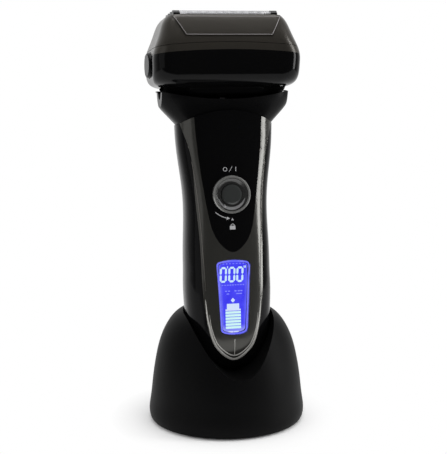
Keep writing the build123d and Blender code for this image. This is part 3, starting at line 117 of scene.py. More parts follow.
class Recipe:
    """A node tree being built, for a material or for the world."""

    def __init__(self, owner):
        owner.use_nodes = True
        self.owner = owner
        self.tree = owner.node_tree
        self.tree.nodes.clear()

    def node(self, kind, settings=None, sockets=None):
        """Adds a node, sets its settings first and then its sockets, and gives back its outputs."""
        made = self.tree.nodes.new(kind)
        for key, value in (settings or {}).items():
            setattr(made, key, value)
        for key, value in (sockets or {}).items():
            if isinstance(value, Value):
                self.tree.links.new(value.socket, made.inputs[key])
            else:
                made.inputs[key].default_value = value
        return [Value(self, socket) for socket in made.outputs]

    def place(self):
        """The Object output: the point's own place in metres, as a vector and as x, y and z."""
        spot = self.node("ShaderNodeTexCoord")[3]
        return [spot] + self.node("ShaderNodeSeparateXYZ", None, {0: spot})

    def noise(self, spot, scale, detail=2.0):
        """Noise from 0 to 1 of that many cells per metre, with that many finer layers."""
        sockets = {"Vector": spot, "Scale": scale, "Detail": detail, "Roughness": 0.5}
        return self.node("ShaderNodeTexNoise", None, sockets)[0]

    def bump(self, height, distance):
        """A normal bent by a height from 0 to 1, where 1 stands for that many metres."""
        sockets = {"Strength": 1.0, "Distance": distance, "Height": height}
        return self.node("ShaderNodeBump", None, sockets)[0]

    def blend(self, factor, first, second):
        """A mix of two colours, whose sockets are the Mix node's seventh and eighth."""
        sockets = {0: factor, 6: first, 7: second}
        return self.node("ShaderNodeMix", {"data_type": "RGBA"}, sockets)[2]

    def surface(self, **sockets):
        """The finished surface: a Principled shader with those sockets."""
        named = {key.replace("_", " "): value for key, value in sockets.items()}
        skin = self.node("ShaderNodeBsdfPrincipled", None, named)[0]
        self.node("ShaderNodeOutputMaterial", None, {0: skin})
        return self.owner


def new_material(name):
    """A recipe for a new material of that name."""
    return Recipe(bpy.data.materials.new(name))


TABLE_SIDE, TABLE_FRONT, TABLE_REAR = 0.5, -0.16, 0.6
TABLE_WHITE = (0.93, 0.93, 0.93, 1)
PURE_WHITE = (1, 1, 1, 1)
SHADE_END, WHITE_START = 0.033, 0.056  # distances from the origin between which the table turns white
CAMERA_RAY, GLOSSY_RAY, CLEAR_RAY = 0, 3, 6  # outputs of the Light Path node

floor_mesh = bpy.data.meshes.new("floor")
floor_corners = [
    (-TABLE_SIDE, TABLE_FRONT, 0),
    (TABLE_SIDE, TABLE_FRONT, 0),
    (TABLE_SIDE, TABLE_REAR, 0),
    (-TABLE_SIDE, TABLE_REAR, 0),
]
floor_mesh.from_pydata(floor_corners, [], [(0, 1, 2, 3)])
floor = bpy.data.objects.new("floor", floor_mesh)
bpy.context.scene.collection.objects.link(floor)

table = new_material("white_table")
x, y = table.place()[1:3]
distance = (x * x + y * y) ** 0.5
rays = table.node("ShaderNodeLightPath")
seen = (rays[CAMERA_RAY] + rays[GLOSSY_RAY] + rays[CLEAR_RAY]).clamped()
paint = table.node("ShaderNodeBsdfDiffuse", None, {"Color": TABLE_WHITE})[0]
glow = table.node("ShaderNodeEmission", None, {"Color": PURE_WHITE, "Strength": 1.0})[0]
fade = seen * distance.between(SHADE_END, WHITE_START)
faded = table.node("ShaderNodeMixShader", None, {0: fade, 1: paint, 2: glow})[0]
table.node("ShaderNodeOutputMaterial", None, {0: faded})
floor_mesh.materials.append(table.owner)

# The viewer sees a white room, and matt surfaces are lit by an even, softer white. In gloss and through
# clear plastic, the room is dark at the front and brightens towards the back.
MATT_LEVEL, DARK_LEVEL = 0.55, 0.025
DARK_UNTIL, WHITE_FROM = -0.1, 0.85  # how far a ray points to the back: 1 is straight back, -1 to the front
sky = Recipe(bpy.data.worlds.new("studio"))
bpy.context.scene.world = sky.owner
direction = sky.node("ShaderNodeTexCoord")[0]
backward = sky.node("ShaderNodeSeparateXYZ", None, {0: direction})[1]
rays = sky.node("ShaderNodeLightPath")
mirrored = (rays[GLOSSY_RAY] + rays[CLEAR_RAY]).clamped()
room = DARK_LEVEL + (1 - DARK_LEVEL) * backward.between(DARK_UNTIL, WHITE_FROM)
level = rays[CAMERA_RAY] + (1 - rays[CAMERA_RAY]) * (mirrored * room + (1 - mirrored) * MATT_LEVEL)
light = sky.node("ShaderNodeBackground", None, {"Color": PURE_WHITE, "Strength": level})[0]
sky.node("ShaderNodeOutputWorld", None, {0: light})


def lamp(name, place, aim, width, height, power):
    """A rectangular soft lamp that faces the point aim."""
    data = bpy.data.lights.new(name, "AREA")
    data.shape = "RECTANGLE"
    data.size = width
    data.size_y = height
    data.energy = power
    made = bpy.data.objects.new(name, data)
    bpy.context.scene.collection.objects.link(made)
    made.location = place
    made.rotation_euler = (Vector(aim) - Vector(place)).to_track_quat("-Z", "Y").to_euler()


lamp("overhead", (0.05, 0.1, 0.95), (0, 0, 0.05), 0.8, 0.6, 5.0)
lamp("left_side", (-0.8, -0.3, 0.3), (0, 0, 0.1), 0.6, 0.9, 0.9)
lamp("right_side", (0.75, -0.2, 0.3), (0, 0, 0.1), 0.2, 0.9, 4.2)


# ------------------------------------------------------------------ charging stand
# A bell of satin black ABS with a rounded notch for the handle, closed underneath by a plate
# on two screws. The board, the ballast and the inlet of the mains adapter are held inside.
def dress(material, *names):
    """Gives that material to the one slot of each CAD node."""
    for name in names:
        slots = nodes[name].data.materials
        if len(slots):
            slots[0] = material
        else:
            slots.append(material)


def satin_plastic(name, colour, roughness, specular):
    """Moulded plastic with a fine eroded grain."""
    recipe = new_material(name)
    spot = recipe.place()[0]
    fine = recipe.noise(spot, 9000.0, 3.0)
    broad = recipe.noise(spot, 60.0)
    return recipe.surface(
        Base_Color=colour,
        Roughness=roughness + 0.08 * (broad - 0.5) + 0.05 * (fine - 0.5),
        Normal=recipe.bump(fine, 0.000012),
        Specular_IOR_Level=specular,
    )


def gloss_plastic(name, colour, roughness, specular):
    """Polished plastic: smooth, with a faint waviness and the odd dull patch from handling."""
    recipe = new_material(name)
    spot = recipe.place()[0]
    broad = recipe.noise(spot, 45.0)
    orange = recipe.noise(spot, 700.0, 1.0)
    return recipe.surface(
        Base_Color=colour,
        Roughness=roughness + 0.05 * broad.between(0.45, 0.8),
        Normal=recipe.bump(orange, 0.000004),
        Specular_IOR_Level=specular,
    )


def metallised(name, colour, roughness, metal, coat):
    """Plastic with a smoked metallic film under clear lacquer."""
    recipe = new_material(name)
    spot = recipe.place()[0]
    broad = recipe.noise(spot, 50.0)
    orange = recipe.noise(spot, 500.0, 1.0)
    return recipe.surface(
        Base_Color=colour,
        Metallic=metal,
        Roughness=roughness + 0.08 * broad,
        Normal=recipe.bump(orange, 0.000004),
        Coat_Weight=coat,
        Coat_Roughness=0.1,
    )


def plain(name, colour, roughness, metallic=0.0):
    """A plain finish with slight variation, for small parts and those inside."""
    recipe = new_material(name)
    spot = recipe.place()[0]
    broad = recipe.noise(spot, 300.0)
    fine = recipe.noise(spot, 4000.0)
    return recipe.surface(
        Base_Color=colour,
        Metallic=metallic,
        Roughness=roughness + 0.1 * (broad - 0.5),
        Normal=recipe.bump(fine, 0.000006),
    )


works_plastic = plain("works_plastic", (0.03, 0.03, 0.033, 1), roughness=0.45)
steel = plain("steel", (0.5, 0.5, 0.51, 1), roughness=0.3, metallic=1.0)
plated = plain("plated", (0.75, 0.58, 0.28, 1), roughness=0.25, metallic=1.0)
board_lacquer = plain("board_lacquer", (0.012, 0.09, 0.035, 1), roughness=0.35)

stand_satin = satin_plastic("stand_satin", (0.0026, 0.0026, 0.0028, 1), roughness=0.5, specular=0.07)
dress(stand_satin, "stand_shell", "stand_base_plate")
foot_rubber = plain("foot_rubber", (0.015, 0.015, 0.015, 1), roughness=0.8)
dress(foot_rubber, *[f"stand_foot_{i}" for i in range(1, 5)])
dress(steel, "stand_screws", "stand_ballast")
dress(board_lacquer, "stand_board", "circuit_board")
dress(works_plastic, "stand_plug", "dc_jack")
dress(plated, "stand_contacts", "dc_jack_pin")


# ------------------------------------------------------------------ works inside the handle
# Two cells, the board and the swinging-armature motor sit on a moulded chassis. The
# charging socket is let into the underside.
dress(works_plastic, "charging_socket", "chassis", "tact_switch", "drive_mover")
dress(plated, "socket_pins")
dress(steel, "drive_pin", "drive_springs", "drive_magnets", "battery_link")
dress(plain("cell_sleeve", (0.03, 0.12, 0.3, 1), roughness=0.3), "battery_cell_left", "battery_cell_right")
dress(plain("core_laminations", (0.2, 0.2, 0.21, 1), roughness=0.4, metallic=1.0), "motor_core")
dress(plain("enamelled_copper", (0.55, 0.2, 0.07, 1), roughness=0.3, metallic=1.0), "motor_coil")


# ------------------------------------------------------------------ case shells and their screws
# Two shells of polished black ABS meet at the sides; four screws go in from the back.
piano_black = gloss_plastic("piano_black", (0.003, 0.003, 0.0033, 1), roughness=0.1, specular=0.12)
dress(piano_black, "case_front", "case_rear")
dress(steel, "case_screws")


# ------------------------------------------------------------------ metallised trim
# A smoked, vacuum-metallised surround runs from the neck to a point above the stand. Two
# polished beads follow its lower edge, and a fine bead runs from the display to the point.
LEAN = radians(6.0)
SEAT = (0.0, -0.004, 0.026)
FORWARD = np.array([0.0, -cos(LEAN), sin(LEAN)])
CLEAR_OF_CASE = 0.08  # rays start this far in front of the handle's middle, or behind it


def on_handle(x, y, z):
    """Points given in the leaning handle's own axes, turned back by LEAN about x and moved to the seat."""
    x, y, z = np.broadcast_arrays(x, y, z)
    return np.stack([
        SEAT[0] + x,
        SEAT[1] + y * cos(LEAN) + z * sin(LEAN),
        SEAT[2] - y * sin(LEAN) + z * cos(LEAN),
    ], -1)


def feel(names, x, z, side=-1):
    """Where rays along the handle's y axis first meet CAD nodes, from the front (side -1) or the back (1).

    Gives the points and the outward directions of the surface there.
    """
    corners, triangles = [], []
    for name in names:
        mesh = nodes[name].data
        triangles += [[index + len(corners) for index in face.vertices] for face in mesh.polygons]
        corners += [corner.co for corner in mesh.vertices]
    tree = BVHTree.FromPolygons(corners, triangles)
    starts = on_handle(x, side * CLEAR_OF_CASE, z).reshape(-1, 3)
    inward = Vector(side * FORWARD)
    hits = [tree.ray_cast(Vector(start), inward) for start in starts]
    spots = np.array([hit[0] if hit[0] else start for hit, start in zip(hits, starts)])
    ways = np.array([hit[1] if hit[0] else -inward for hit in hits])
    return spots, ways


def weave(rows, columns, around=False):
    """The quads of a grid of points, row by row; with around, the last column joins the first."""
    row = np.arange(rows - 1)[:, None]
    column = np.arange(columns if around else columns - 1)[None, :]
    following = (column + 1) % columns
    near, far = row * columns, (row + 1) * columns
    quads = np.stack([near + column, near + following, far + following, far + column], -1)
    return quads.reshape(-1, 4).tolist()


def make_piece(name, points, faces, body, material, smooth=True):
    """A mesh from points and faces that rides on the body."""
    mesh = bpy.data.meshes.new(name)
    mesh.from_pydata(np.asarray(points).reshape(-1, 3).tolist(), [], faces)
    if smooth:
        mesh.shade_smooth()
    mesh.materials.append(material)
    piece = bpy.data.objects.new(name, mesh)
    bpy.context.scene.collection.objects.link(piece)
    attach(piece, body)
    return piece


def bead(spots, ways, width, height, closed=False):
    """Points and faces of a low rounded rib.

    Its section is five points: two feet just under the surface, two shoulders at three quarters of the
    height and a crest. The section is carried along spots, across the direction of travel, and width
    may change along the way.
    """
    spots, ways = np.asarray(spots), np.asarray(ways)
    width = np.broadcast_to(np.asarray(width, float), (len(spots),))
    ahead = np.roll(spots, -1, 0) - np.roll(spots, 1, 0) if closed else np.gradient(spots, axis=0)
    right = np.cross(ahead, ways)
    right /= np.linalg.norm(right, axis=1, keepdims=True)
    across = np.array([-0.5, -0.32, 0.0, 0.32, 0.5])
    rise = height * np.array([-0.3, 0.75, 1.0, 0.75, -0.3])
    sideways = right[:, None] * (across * width[:, None])[..., None]
    points = spots[:, None] + sideways + ways[:, None] * rise[:, None]
    faces = weave(len(spots), 5, True)
    last = 5 * (len(spots) - 1)
    if closed:
        faces += [[last + c, last + (c + 1) % 5, (c + 1) % 5, c] for c in range(5)]
    else:
        faces += [[4, 3, 2, 1, 0], [last + c for c in range(5)]]
    return points, faces


def join(shapes):
    """Several sets of points and faces as one."""
    sets = [np.asarray(points).reshape(-1, 3) for points, _ in shapes]
    starts = np.cumsum([0] + [len(points) for points in sets[:-1]]).tolist()
    faces = []
    for start, (_, shape_faces) in zip(starts, shapes):
        faces += [[start + index for index in face] for face in shape_faces]
    return np.concatenate(sets), faces


def along(corners, count):
    """Evenly spaced points of x and z on a smooth line through the corners.

    Each coordinate is a cubic Hermite curve of the distance run, with slopes from the corners beside it.
    """
    corners = np.asarray(corners, float)
    run = np.concatenate([[0], np.cumsum(np.linalg.norm(np.diff(corners, axis=0), axis=1))])
    slope = np.gradient(corners, run, axis=0)
    where = np.linspace(0, run[-1], count)
    left = np.clip(np.searchsorted(run, where, "right") - 1, 0, len(run) - 2)
    length = (run[left + 1] - run[left])[:, None]
    t = (where - run[left])[:, None] / length
    return (
        (2 * t**3 - 3 * t**2 + 1) * corners[left]
        + (t**3 - 2 * t**2 + t) * length * slope[left]
        + (3 * t**2 - 2 * t**3) * corners[left + 1]
        + (t**3 - t**2) * length * slope[left + 1]
    )


def edge_line(side, tip):
    """An outline in metres from its right side round its tip to its left side, drawn in by BEAD_INSET."""
    right = [(x - BEAD_INSET, z) for x, z in side]
    left = [(-x, z) for x, z in reversed(right)]
    return along(right + [(0.0, tip + BEAD_INSET)] + left, 90) / 1000


smoked_trim = metallised("smoked_trim", (0.064, 0.063, 0.057, 1), roughness=0.15, metal=0.6, coat=0.3)
polished_edge = metallised("polished_edge", (0.56, 0.55, 0.52, 1), roughness=0.22, metal=0.2, coat=0.2)
dress(smoked_trim, "fascia_trim")

# Outlines on the handle are points of x and z in millimetres; every other size here is in metres.
OUTER_SIDE, OUTER_TIP = [(13.9, 34.0), (12.5, 22.5), (8.6, 11.0)], 4.6
INNER_SIDE, INNER_TIP = [(12.2, 27.0), (11.2, 20.0), (7.6, 11.6)], 6.5
BEAD_INSET = 0.75
OUTER_WIDTH, INNER_WIDTH, BEAD_HEIGHT = 0.0015, 0.0007, 0.00016
MIDDLE_TOP, MIDDLE_BOTTOM, MIDDLE_WIDTH, MIDDLE_HEIGHT = 0.0152, 0.0072, 0.00036, 0.0001
outer_line = edge_line(OUTER_SIDE, OUTER_TIP)
inner_line = edge_line(INNER_SIDE, INNER_TIP)
beads = []
for line, widest in ((outer_line, OUTER_WIDTH), (inner_line, INNER_WIDTH)):
    taper = np.sin(np.linspace(0, pi, len(line))) ** 0.7
    spots, ways = feel(["fascia_trim", "case_front"], line[:, 0], line[:, 1])
    beads.append(bead(spots, ways, widest * (0.12 + 0.88 * taper), BEAD_HEIGHT))
middle = np.stack([np.zeros(24), np.linspace(MIDDLE_TOP, MIDDLE_BOTTOM, 24)], 1)
spots, ways = feel(["fascia_trim"], middle[:, 0], middle[:, 1])
beads.append(bead(spots, ways, MIDDLE_WIDTH, MIDDLE_HEIGHT))
make_piece("trim_beads", *join(beads), "handle", polished_edge)

# The trim's long sides carry one fine bead each, from the neck down to beside the display.
SIDE_BEAD_WIDTH, SIDE_BEAD_HEIGHT = 0.00045, 0.00014
SIDE_LINE = [(19.2, 108.0), (17.3, 98.0), (15.4, 84.0), (14.3, 70.0), (13.6, 55.0), (12.9, 38.0)]
beads = []
for hand in (1, -1):
    line = along([(hand * x, z) for x, z in SIDE_LINE], 70) / 1000
    spots, ways = feel(["fascia_trim", "case_front"], line[:, 0], line[:, 1])
    taper = np.sin(np.linspace(0, pi, len(line))) ** 0.6
    beads.append(bead(spots, ways, SIDE_BEAD_WIDTH * (0.1 + 0.9 * taper), SIDE_BEAD_HEIGHT))
side_bead_film = metallised("side_bead_film", (0.3, 0.285, 0.265, 1), roughness=0.24, metal=0.9, coat=0.0)
make_piece("side_beads", *join(beads), "handle", side_bead_film)


# ------------------------------------------------------------------ control panel and its marks
# A gloss black tongue carries the switch. Pale marks are printed round the switch: off and
# on above it, and below it a curved arrow, a pointer and a padlock for the travel lock.
INK, INK_SUNK = 0.00003, 0.00005  # how far the print stands above the surface and reaches below it


def printed(names, outlines):
    """Points and faces of thin printed plates, from outlines of x and z in millimetres.

    Each outline is laid on the surface and lifted by the ink, and its rim goes down to the same outline
    just under the surface. The outlines turn anticlockwise seen from the front and all have the same
    number of corners.
    """
    outlines = np.asarray(outlines, float) / 1000
    count, corners = outlines.shape[:2]
    spots, ways = feel(names, outlines[..., 0].ravel(), outlines[..., 1].ravel())
    spots, ways = spots.reshape(count, corners, 3), ways.reshape(count, corners, 3)
    points = np.stack([spots + INK * ways, spots - INK_SUNK * ways], 1)
    index = np.arange(count * 2 * corners).reshape(count, 2, corners)
    top, low = index[:, 0], index[:, 1]
    after, below = np.roll(top, -1, 1), np.roll(low, -1, 1)
    walls = np.stack([top, low, below, after], -1).reshape(-1, 4)
    return points, top.tolist() + low[:, ::-1].tolist() + walls.tolist()


def stroke(names, path, width, closed=False):
    """A printed line of even width along a path of x and z in millimetres."""
    path = np.asarray(path, float) / 1000
    spots, ways = feel(names, path[:, 0], path[:, 1])
    return bead(spots, ways, width / 1000, INK, closed)


def turn(middle, radius, start, end, count):
    """Points of x and z on an arc from start to end, in degrees."""
    angle = np.radians(np.linspace(start, end, count))
    return np.stack([middle[0] + radius * np.cos(angle), middle[1] + radius * np.sin(angle)], 1)


SWITCH = (0.0, 82.0)
NOUGHT, NOUGHT_R = (-2.6, 93.6), 0.85
SLASH = [(-0.75, 92.4), (0.0, 93.6), (0.75, 94.8)]
ONE = [(2.4, 92.6), (2.4, 93.6), (2.4, 94.6)]
ARROW_R, ARROW_START, ARROW_END = 11.0, 226, 259
ARROW_HEAD = [(-2.7, 70.4), (-1.0, 71.15), (-2.45, 71.95)]
POINTER = [(-0.55, 70.2), (0.65, 70.2), (0.05, 71.35)]
SHACKLE, SHACKLE_R = (0.05, 67.7), 0.8
LOCK_BODY = [(-1.25, 66.0), (1.3, 66.0), (1.3, 67.7), (-1.25, 67.7)]
MARK_GREY = (0.42, 0.42, 0.43, 1)
panel = ["control_panel"]
panel_black = gloss_plastic("panel_black", (0.0028, 0.0028, 0.003, 1), roughness=0.08, specular=0.14)
dress(panel_black, "control_panel")
marks = [
    stroke(panel, turn(NOUGHT, NOUGHT_R, 0, 345, 24), 0.32, True),
    stroke(panel, along(SLASH, 8), 0.26),
    stroke(panel, along(ONE, 6), 0.34),
    stroke(panel, turn(SWITCH, ARROW_R, ARROW_START, ARROW_END, 24), 0.42),
    stroke(panel, turn(SHACKLE, SHACKLE_R, 0, 180, 12), 0.32),
    printed(panel, [LOCK_BODY]),
    printed(panel, [ARROW_HEAD, POINTER]),
]
mark_ink = plain("mark_ink", MARK_GREY, roughness=0.5)
make_piece("panel_marks", *join(marks), "handle", mark_ink, smooth=False)


# ------------------------------------------------------------------ display and its window
# A liquid crystal pane with a blue light behind it sits under a clear window. It shows a
# time of three digits, small marks, and a battery with six bars under a diamond.
LCD_FRONT = -0.01303
MARK_LIFT, MARK_SUNK = 0.00004, 0.00001
WINDOW_TOP, WINDOW_BOTTOM = 52.0, 17.2


def lit(name, colour):
    """A pane that glows with the light behind it, brighter here and there."""
    recipe = new_material(name)
    spot = recipe.place()[0]
    cloud = recipe.noise(spot, 260.0)
    paler = tuple(0.55 * part + 0.45 for part in colour[:3]) + (1,)
    return recipe.surface(
        Base_Color=(0.01, 0.01, 0.02, 1),
        Roughness=0.3,
        Emission_Color=recipe.blend(cloud.between(0.35, 0.9) * 0.35, colour, paler),
        Emission_Strength=1.0,
    )


# The pane is brightest along its foot and sides, where the light comes in.
WINDOW_FOOT_HALF, WINDOW_WIDENING = 0.0062, 0.0017
pane = new_material("display_blue")
spot, x, _, z = pane.place()
low = float(on_handle(0, LCD_FRONT, WINDOW_BOTTOM / 1000)[2])
high = float(on_handle(0, LCD_FRONT, WINDOW_TOP / 1000)[2])
up = z.between(low, high)
half_width = WINDOW_FOOT_HALF + WINDOW_WIDENING * up
left_glow = 1 - (half_width + x).between(0.0002, 0.0026)
right_glow = 0.5 * (1 - (half_width - x).between(0.0002, 0.0018))
foot_glow = 1 - up.between(0.02, 0.13)
glow = (0.55 * left_glow + 0.5 * right_glow + 0.8 * foot_glow).clamped()
cloud = pane.noise(spot, 220.0)
shade = pane.blend(cloud.between(0.3, 0.75), (0.045, 0.04, 0.86, 1), (0.085, 0.085, 1.0, 1))
pane.surface(
    Base_Color=(0.01, 0.01, 0.03, 1),
    Roughness=0.25,
    Emission_Color=pane.blend(glow, shade, (0.42, 0.46, 1.0, 1)),
    Emission_Strength=1.0,
)
dress(pane.owner, "lcd_panel", "lcd_backlight")

clear = new_material("clear_window")
spot = clear.place()[0]
haze = clear.noise(spot, 200.0)
clear.surface(
    Base_Color=(0.98, 0.98, 1.0, 1),
    Roughness=0.02 + 0.03 * haze.between(0.5, 0.9),
    IOR=1.3,
    Transmission_Weight=1.0,
)
dress(clear.owner, "display_window")


def shown(name, outlines, material):
    """Thin plates on the front of the display pane, from outlines of x and z in millimetres.

    The outlines turn anticlockwise seen from the front and all have the same number of corners.
    """
    outlines = np.asarray(outlines, float) / 1000
    count, corners = outlines.shape[:2]
    front = on_handle(outlines[..., 0], LCD_FRONT - MARK_LIFT, outlines[..., 1])
    back = on_handle(outlines[..., 0], LCD_FRONT + MARK_SUNK, outlines[..., 1])
    index = np.arange(count * 2 * corners).reshape(count, 2, corners)
    top, low = index[:, 0], index[:, 1]
    walls = np.stack([top, low, np.roll(low, -1, 1), np.roll(top, -1, 1)], -1).reshape(-1, 4)
    faces = top.tolist() + low[:, ::-1].tolist() + walls.tolist()
    return make_piece(name, np.stack([front, back], 1), faces, "handle", material, smooth=False)


def bars(x, z, width, height):
    """Rectangles about x and z, one for each entry."""
    x, z, width, height = np.broadcast_arrays(x, z, width, height)
    corner_x = x[..., None] + width[..., None] * np.array([-0.5, 0.5, 0.5, -0.5])
    corner_z = z[..., None] + height[..., None] * np.array([-0.5, -0.5, 0.5, 0.5])
    return np.stack([corner_x, corner_z], -1).reshape(-1, 4, 2)


DIGIT_WIDTH, DIGIT_HEIGHT, SEGMENT, SLANT = 2.4, 6.3, 0.95, 0.05
DIGIT_LEFT, DIGIT_BOTTOM = np.array([-5.5, -1.5, 2.3]), 41.7
BATTERY_X, BATTERY_WIDTH = 0.1, 7.2
across = np.array([[-0.5, 0], [-0.32, -0.5], [0.32, -0.5], [0.5, 0], [0.32, 0.5], [-0.32, 0.5]])
upright = across[:, ::-1] * [-1, 1]
level = across * [DIGIT_WIDTH - 0.25, SEGMENT] + [DIGIT_WIDTH / 2, 0]
stand_up = upright * [SEGMENT, DIGIT_HEIGHT / 2 - 0.15]
zero = np.concatenate([
    level[None] + [0, 0],
    level[None] + [0, DIGIT_HEIGHT],
    stand_up[None] + [0, DIGIT_HEIGHT / 4],
    stand_up[None] + [0, 3 * DIGIT_HEIGHT / 4],
    stand_up[None] + [DIGIT_WIDTH, DIGIT_HEIGHT / 4],
    stand_up[None] + [DIGIT_WIDTH, 3 * DIGIT_HEIGHT / 4],
])
digits = zero[None] + np.stack([DIGIT_LEFT, np.full(3, DIGIT_BOTTOM)], 1)[:, None, None]
digits = digits.reshape(-1, 6, 2)
digits[..., 0] += SLANT * (digits[..., 1] - DIGIT_BOTTOM)
shown("display_digits", digits, lit("digit_white", (0.62, 0.85, 1.0, 1)))

ticks = bars(np.linspace(-5.6, 5.4, 8), 49.9, 0.75, 0.35)
primes = bars(np.array([-2.1, 5.7, 6.3]), 48.3, 0.42, 1.0)
row_one = bars(np.linspace(-4.6, 5.2, 9), 40.0, 0.7, 0.4)
row_two = bars(np.array([-3.0, -1.6, 1.4, 3.0, 4.2]), 37.2, 0.9, 0.5)
row_three = bars(np.array([-2.2, 2.4, 3.8]), 35.9, 1.3, 0.45)
small_marks = np.concatenate([ticks, row_one, row_two, row_three])
shown("display_small_marks", small_marks, lit("mark_blue", (0.22, 0.26, 1.0, 1)))
shown("display_primes", primes, lit("prime_white", (0.6, 0.8, 1.0, 1)))

battery_neck = bars(BATTERY_X, 30.0, 5.8, 2.6)
battery_lid = bars(BATTERY_X, 28.4, BATTERY_WIDTH, 0.75)
diamond = np.array([[(0, -1.1), (1.05, 0), (0, 1.1), (-1.05, 0)]]) + [BATTERY_X, 32.9]
battery_cap = np.concatenate([battery_neck, battery_lid, diamond])
shown("display_battery_cap", battery_cap, lit("cap_white", (0.66, 0.78, 1.0, 1)))
battery_bars = bars(BATTERY_X, np.linspace(20.2, 27.2, 6), BATTERY_WIDTH, 1.12)
shown("display_battery_bars", battery_bars, lit("bar_green", (0.62, 0.95, 0.93, 1)))
shown("display_foot", bars(np.array([-1.2, 1.4]), 18.2, 2.3, 0.5), lit("foot_white", (0.7, 0.8, 1.0, 1)))

# The window rests on a ledge of the front shell all round, and the blue light spills over that ledge.
LEDGE_WIDTH, LEDGE_GLOW = 0.00092, 0.00004
WINDOW_HEAD = [(0, 51.53), (4.0, 51.2), (5.9, 50.87), (7.0, 50.3), (7.37, 49.3)]
WINDOW_SIDE = [(7.07, 44.0), (6.76, 38.0), (6.34, 30.0), (5.92, 22.0)]
WINDOW_FOOT = [(5.8, 19.9), (5.45, 18.85), (4.4, 18.3), (3.0, 17.95), (0, 17.67)]
right_half = along(WINDOW_HEAD + WINDOW_SIDE + WINDOW_FOOT, 90)
left_half = right_half[-2:0:-1] * [-1, 1]
line = np.concatenate([right_half, left_half])[::-1] / 1000
spots, ways = feel(["case_front"], line[:, 0], line[:, 1])
edge_blue = lit("edge_blue", (0.13, 0.14, 1.0, 1))
make_piece("window_light_edge", *bead(spots, ways, LEDGE_WIDTH, LEDGE_GLOW, True), "handle", edge_blue)


# ------------------------------------------------------------------ switch
# A dark chrome push button in the middle of a turning lock ring, which sits in a bezel.
# A pale crescent along the ring's lower edge is a painted highlight.
dark_chrome = metallised("dark_chrome", (0.075, 0.08, 0.078, 1), roughness=0.14, metal=0.6, coat=0.3)
ring_chrome = metallised("ring_chrome", (0.1, 0.1, 0.098, 1), roughness=0.14, metal=0.7, coat=0.2)
rim_chrome = metallised("rim_chrome", (0.3, 0.3, 0.29, 1), roughness=0.15, metal=0.6, coat=0.2)
dress(rim_chrome, "button_bezel")
dress(ring_chrome, "lock_ring")
dress(dark_chrome, "power_button")
CRESCENT_R, CRESCENT_START, CRESCENT_END = 6.35, 196, 344
CRESCENT_WIDTH, CRESCENT_TIP, CRESCENT_HEIGHT = 0.0017, 0.0001, 0.00012
line = turn(SWITCH, CRESCENT_R, CRESCENT_START, CRESCENT_END, 60) / 1000
spots, ways = feel(["lock_ring"], line[:, 0], line[:, 1])
crescent_width = CRESCENT_WIDTH * np.sin(np.linspace(0, pi, 60)) ** 0.8 + CRESCENT_TIP
# The crescent's pale colour is a painted highlight, standing in for the light the ring's lower edge
# catches.
crescent_highlight_paint = metallised("crescent_highlight_paint", (0.42, 0.42, 0.43, 1), roughness=0.2, metal=0.4, coat=0.2)
points, faces = bead(spots, ways, crescent_width, CRESCENT_HEIGHT)
make_piece("ring_crescent_highlight", points, faces, "lock_ring", crescent_highlight_paint)


# ------------------------------------------------------------------ grip pad
# A soft black rubber pad is let into the back of the rear shell. Staggered rows of low domes
# are moulded on it for the fingers.
def domes(spots, ways, radius, height):
    """Points and faces of low domes, one at each spot.

    Each has three rings of ten points and a top: the radius falls and the height rises as the cosine
    and sine of a quarter turn.
    """
    spots, ways = np.asarray(spots), np.asarray(ways)
    first = np.cross(ways, [1.0, 0.0, 0.0])
    first /= np.linalg.norm(first, axis=1, keepdims=True)
    second = np.cross(ways, first)
    lift = np.radians([-8.0, 28.0, 60.0])
    spin = np.radians(np.arange(10) * 36.0)
    ring = np.cos(spin)[:, None] * first[:, None] + np.sin(spin)[:, None] * second[:, None]
    rings = (
        spots[:, None, None]
        + radius * np.cos(lift)[None, :, None, None] * ring[:, None]
        + height * np.sin(lift)[None, :, None, None] * ways[:, None, None]
    ).reshape(len(spots), 30, 3)
    points = np.concatenate([rings, (spots + height * ways)[:, None]], 1)
    sides = np.array(weave(3, 10, True))
    top = np.stack([20 + np.arange(10), 20 + (np.arange(10) + 1) % 10, np.full(10, 30)], 1)
    starts = 31 * np.arange(len(spots))[:, None, None]
    bottom = np.arange(9, -1, -1)[None] + 31 * np.arange(len(spots))[:, None]
    faces = (sides[None] + starts).reshape(-1, 4).tolist()
    faces += (top[None] + starts).reshape(-1, 3).tolist()
    return points, faces + bottom.tolist()


pad_rubber = satin_plastic("pad_rubber", (0.014, 0.014, 0.014, 1), roughness=0.6, specular=0.3)
dress(pad_rubber, "grip_pad")
DOME_ROWS, DOME_COLUMNS = 17, 5
DOME_BOTTOM, DOME_TOP, DOME_SIDE, DOME_STAGGER = 31.0, 87.0, 7.0, 1.75
DOME_R, DOME_HEIGHT = 0.0011, 0.0004
rows, columns = np.meshgrid(
    np.linspace(DOME_BOTTOM, DOME_TOP, DOME_ROWS),
    np.linspace(-DOME_SIDE, DOME_SIDE, DOME_COLUMNS),
    indexing="ij",
)
columns = columns + DOME_STAGGER * (np.arange(DOME_ROWS)[:, None] % 2 - 0.5)
spots, ways = feel(["grip_pad"], columns.ravel() / 1000, rows.ravel() / 1000, 1)
make_piece("grip_domes", *domes(spots, ways, DOME_R, DOME_HEIGHT), "handle", pad_rubber)


# ------------------------------------------------------------------ neck
# A flared cup of polished black ABS on top of the handle holds the head on two posts. A dark sheet, round
# about the pivot, fills the gap between cup and head as painted shade.
cup_black = gloss_plastic("cup_black", (0.0028, 0.0028, 0.003, 1), roughness=0.26, specular=0.1)
dress(cup_black, "neck_collar")
dress(satin_plastic("seal_rubber", (0.008, 0.008, 0.008, 1), roughness=0.6, specular=0.2), "drive_seal")
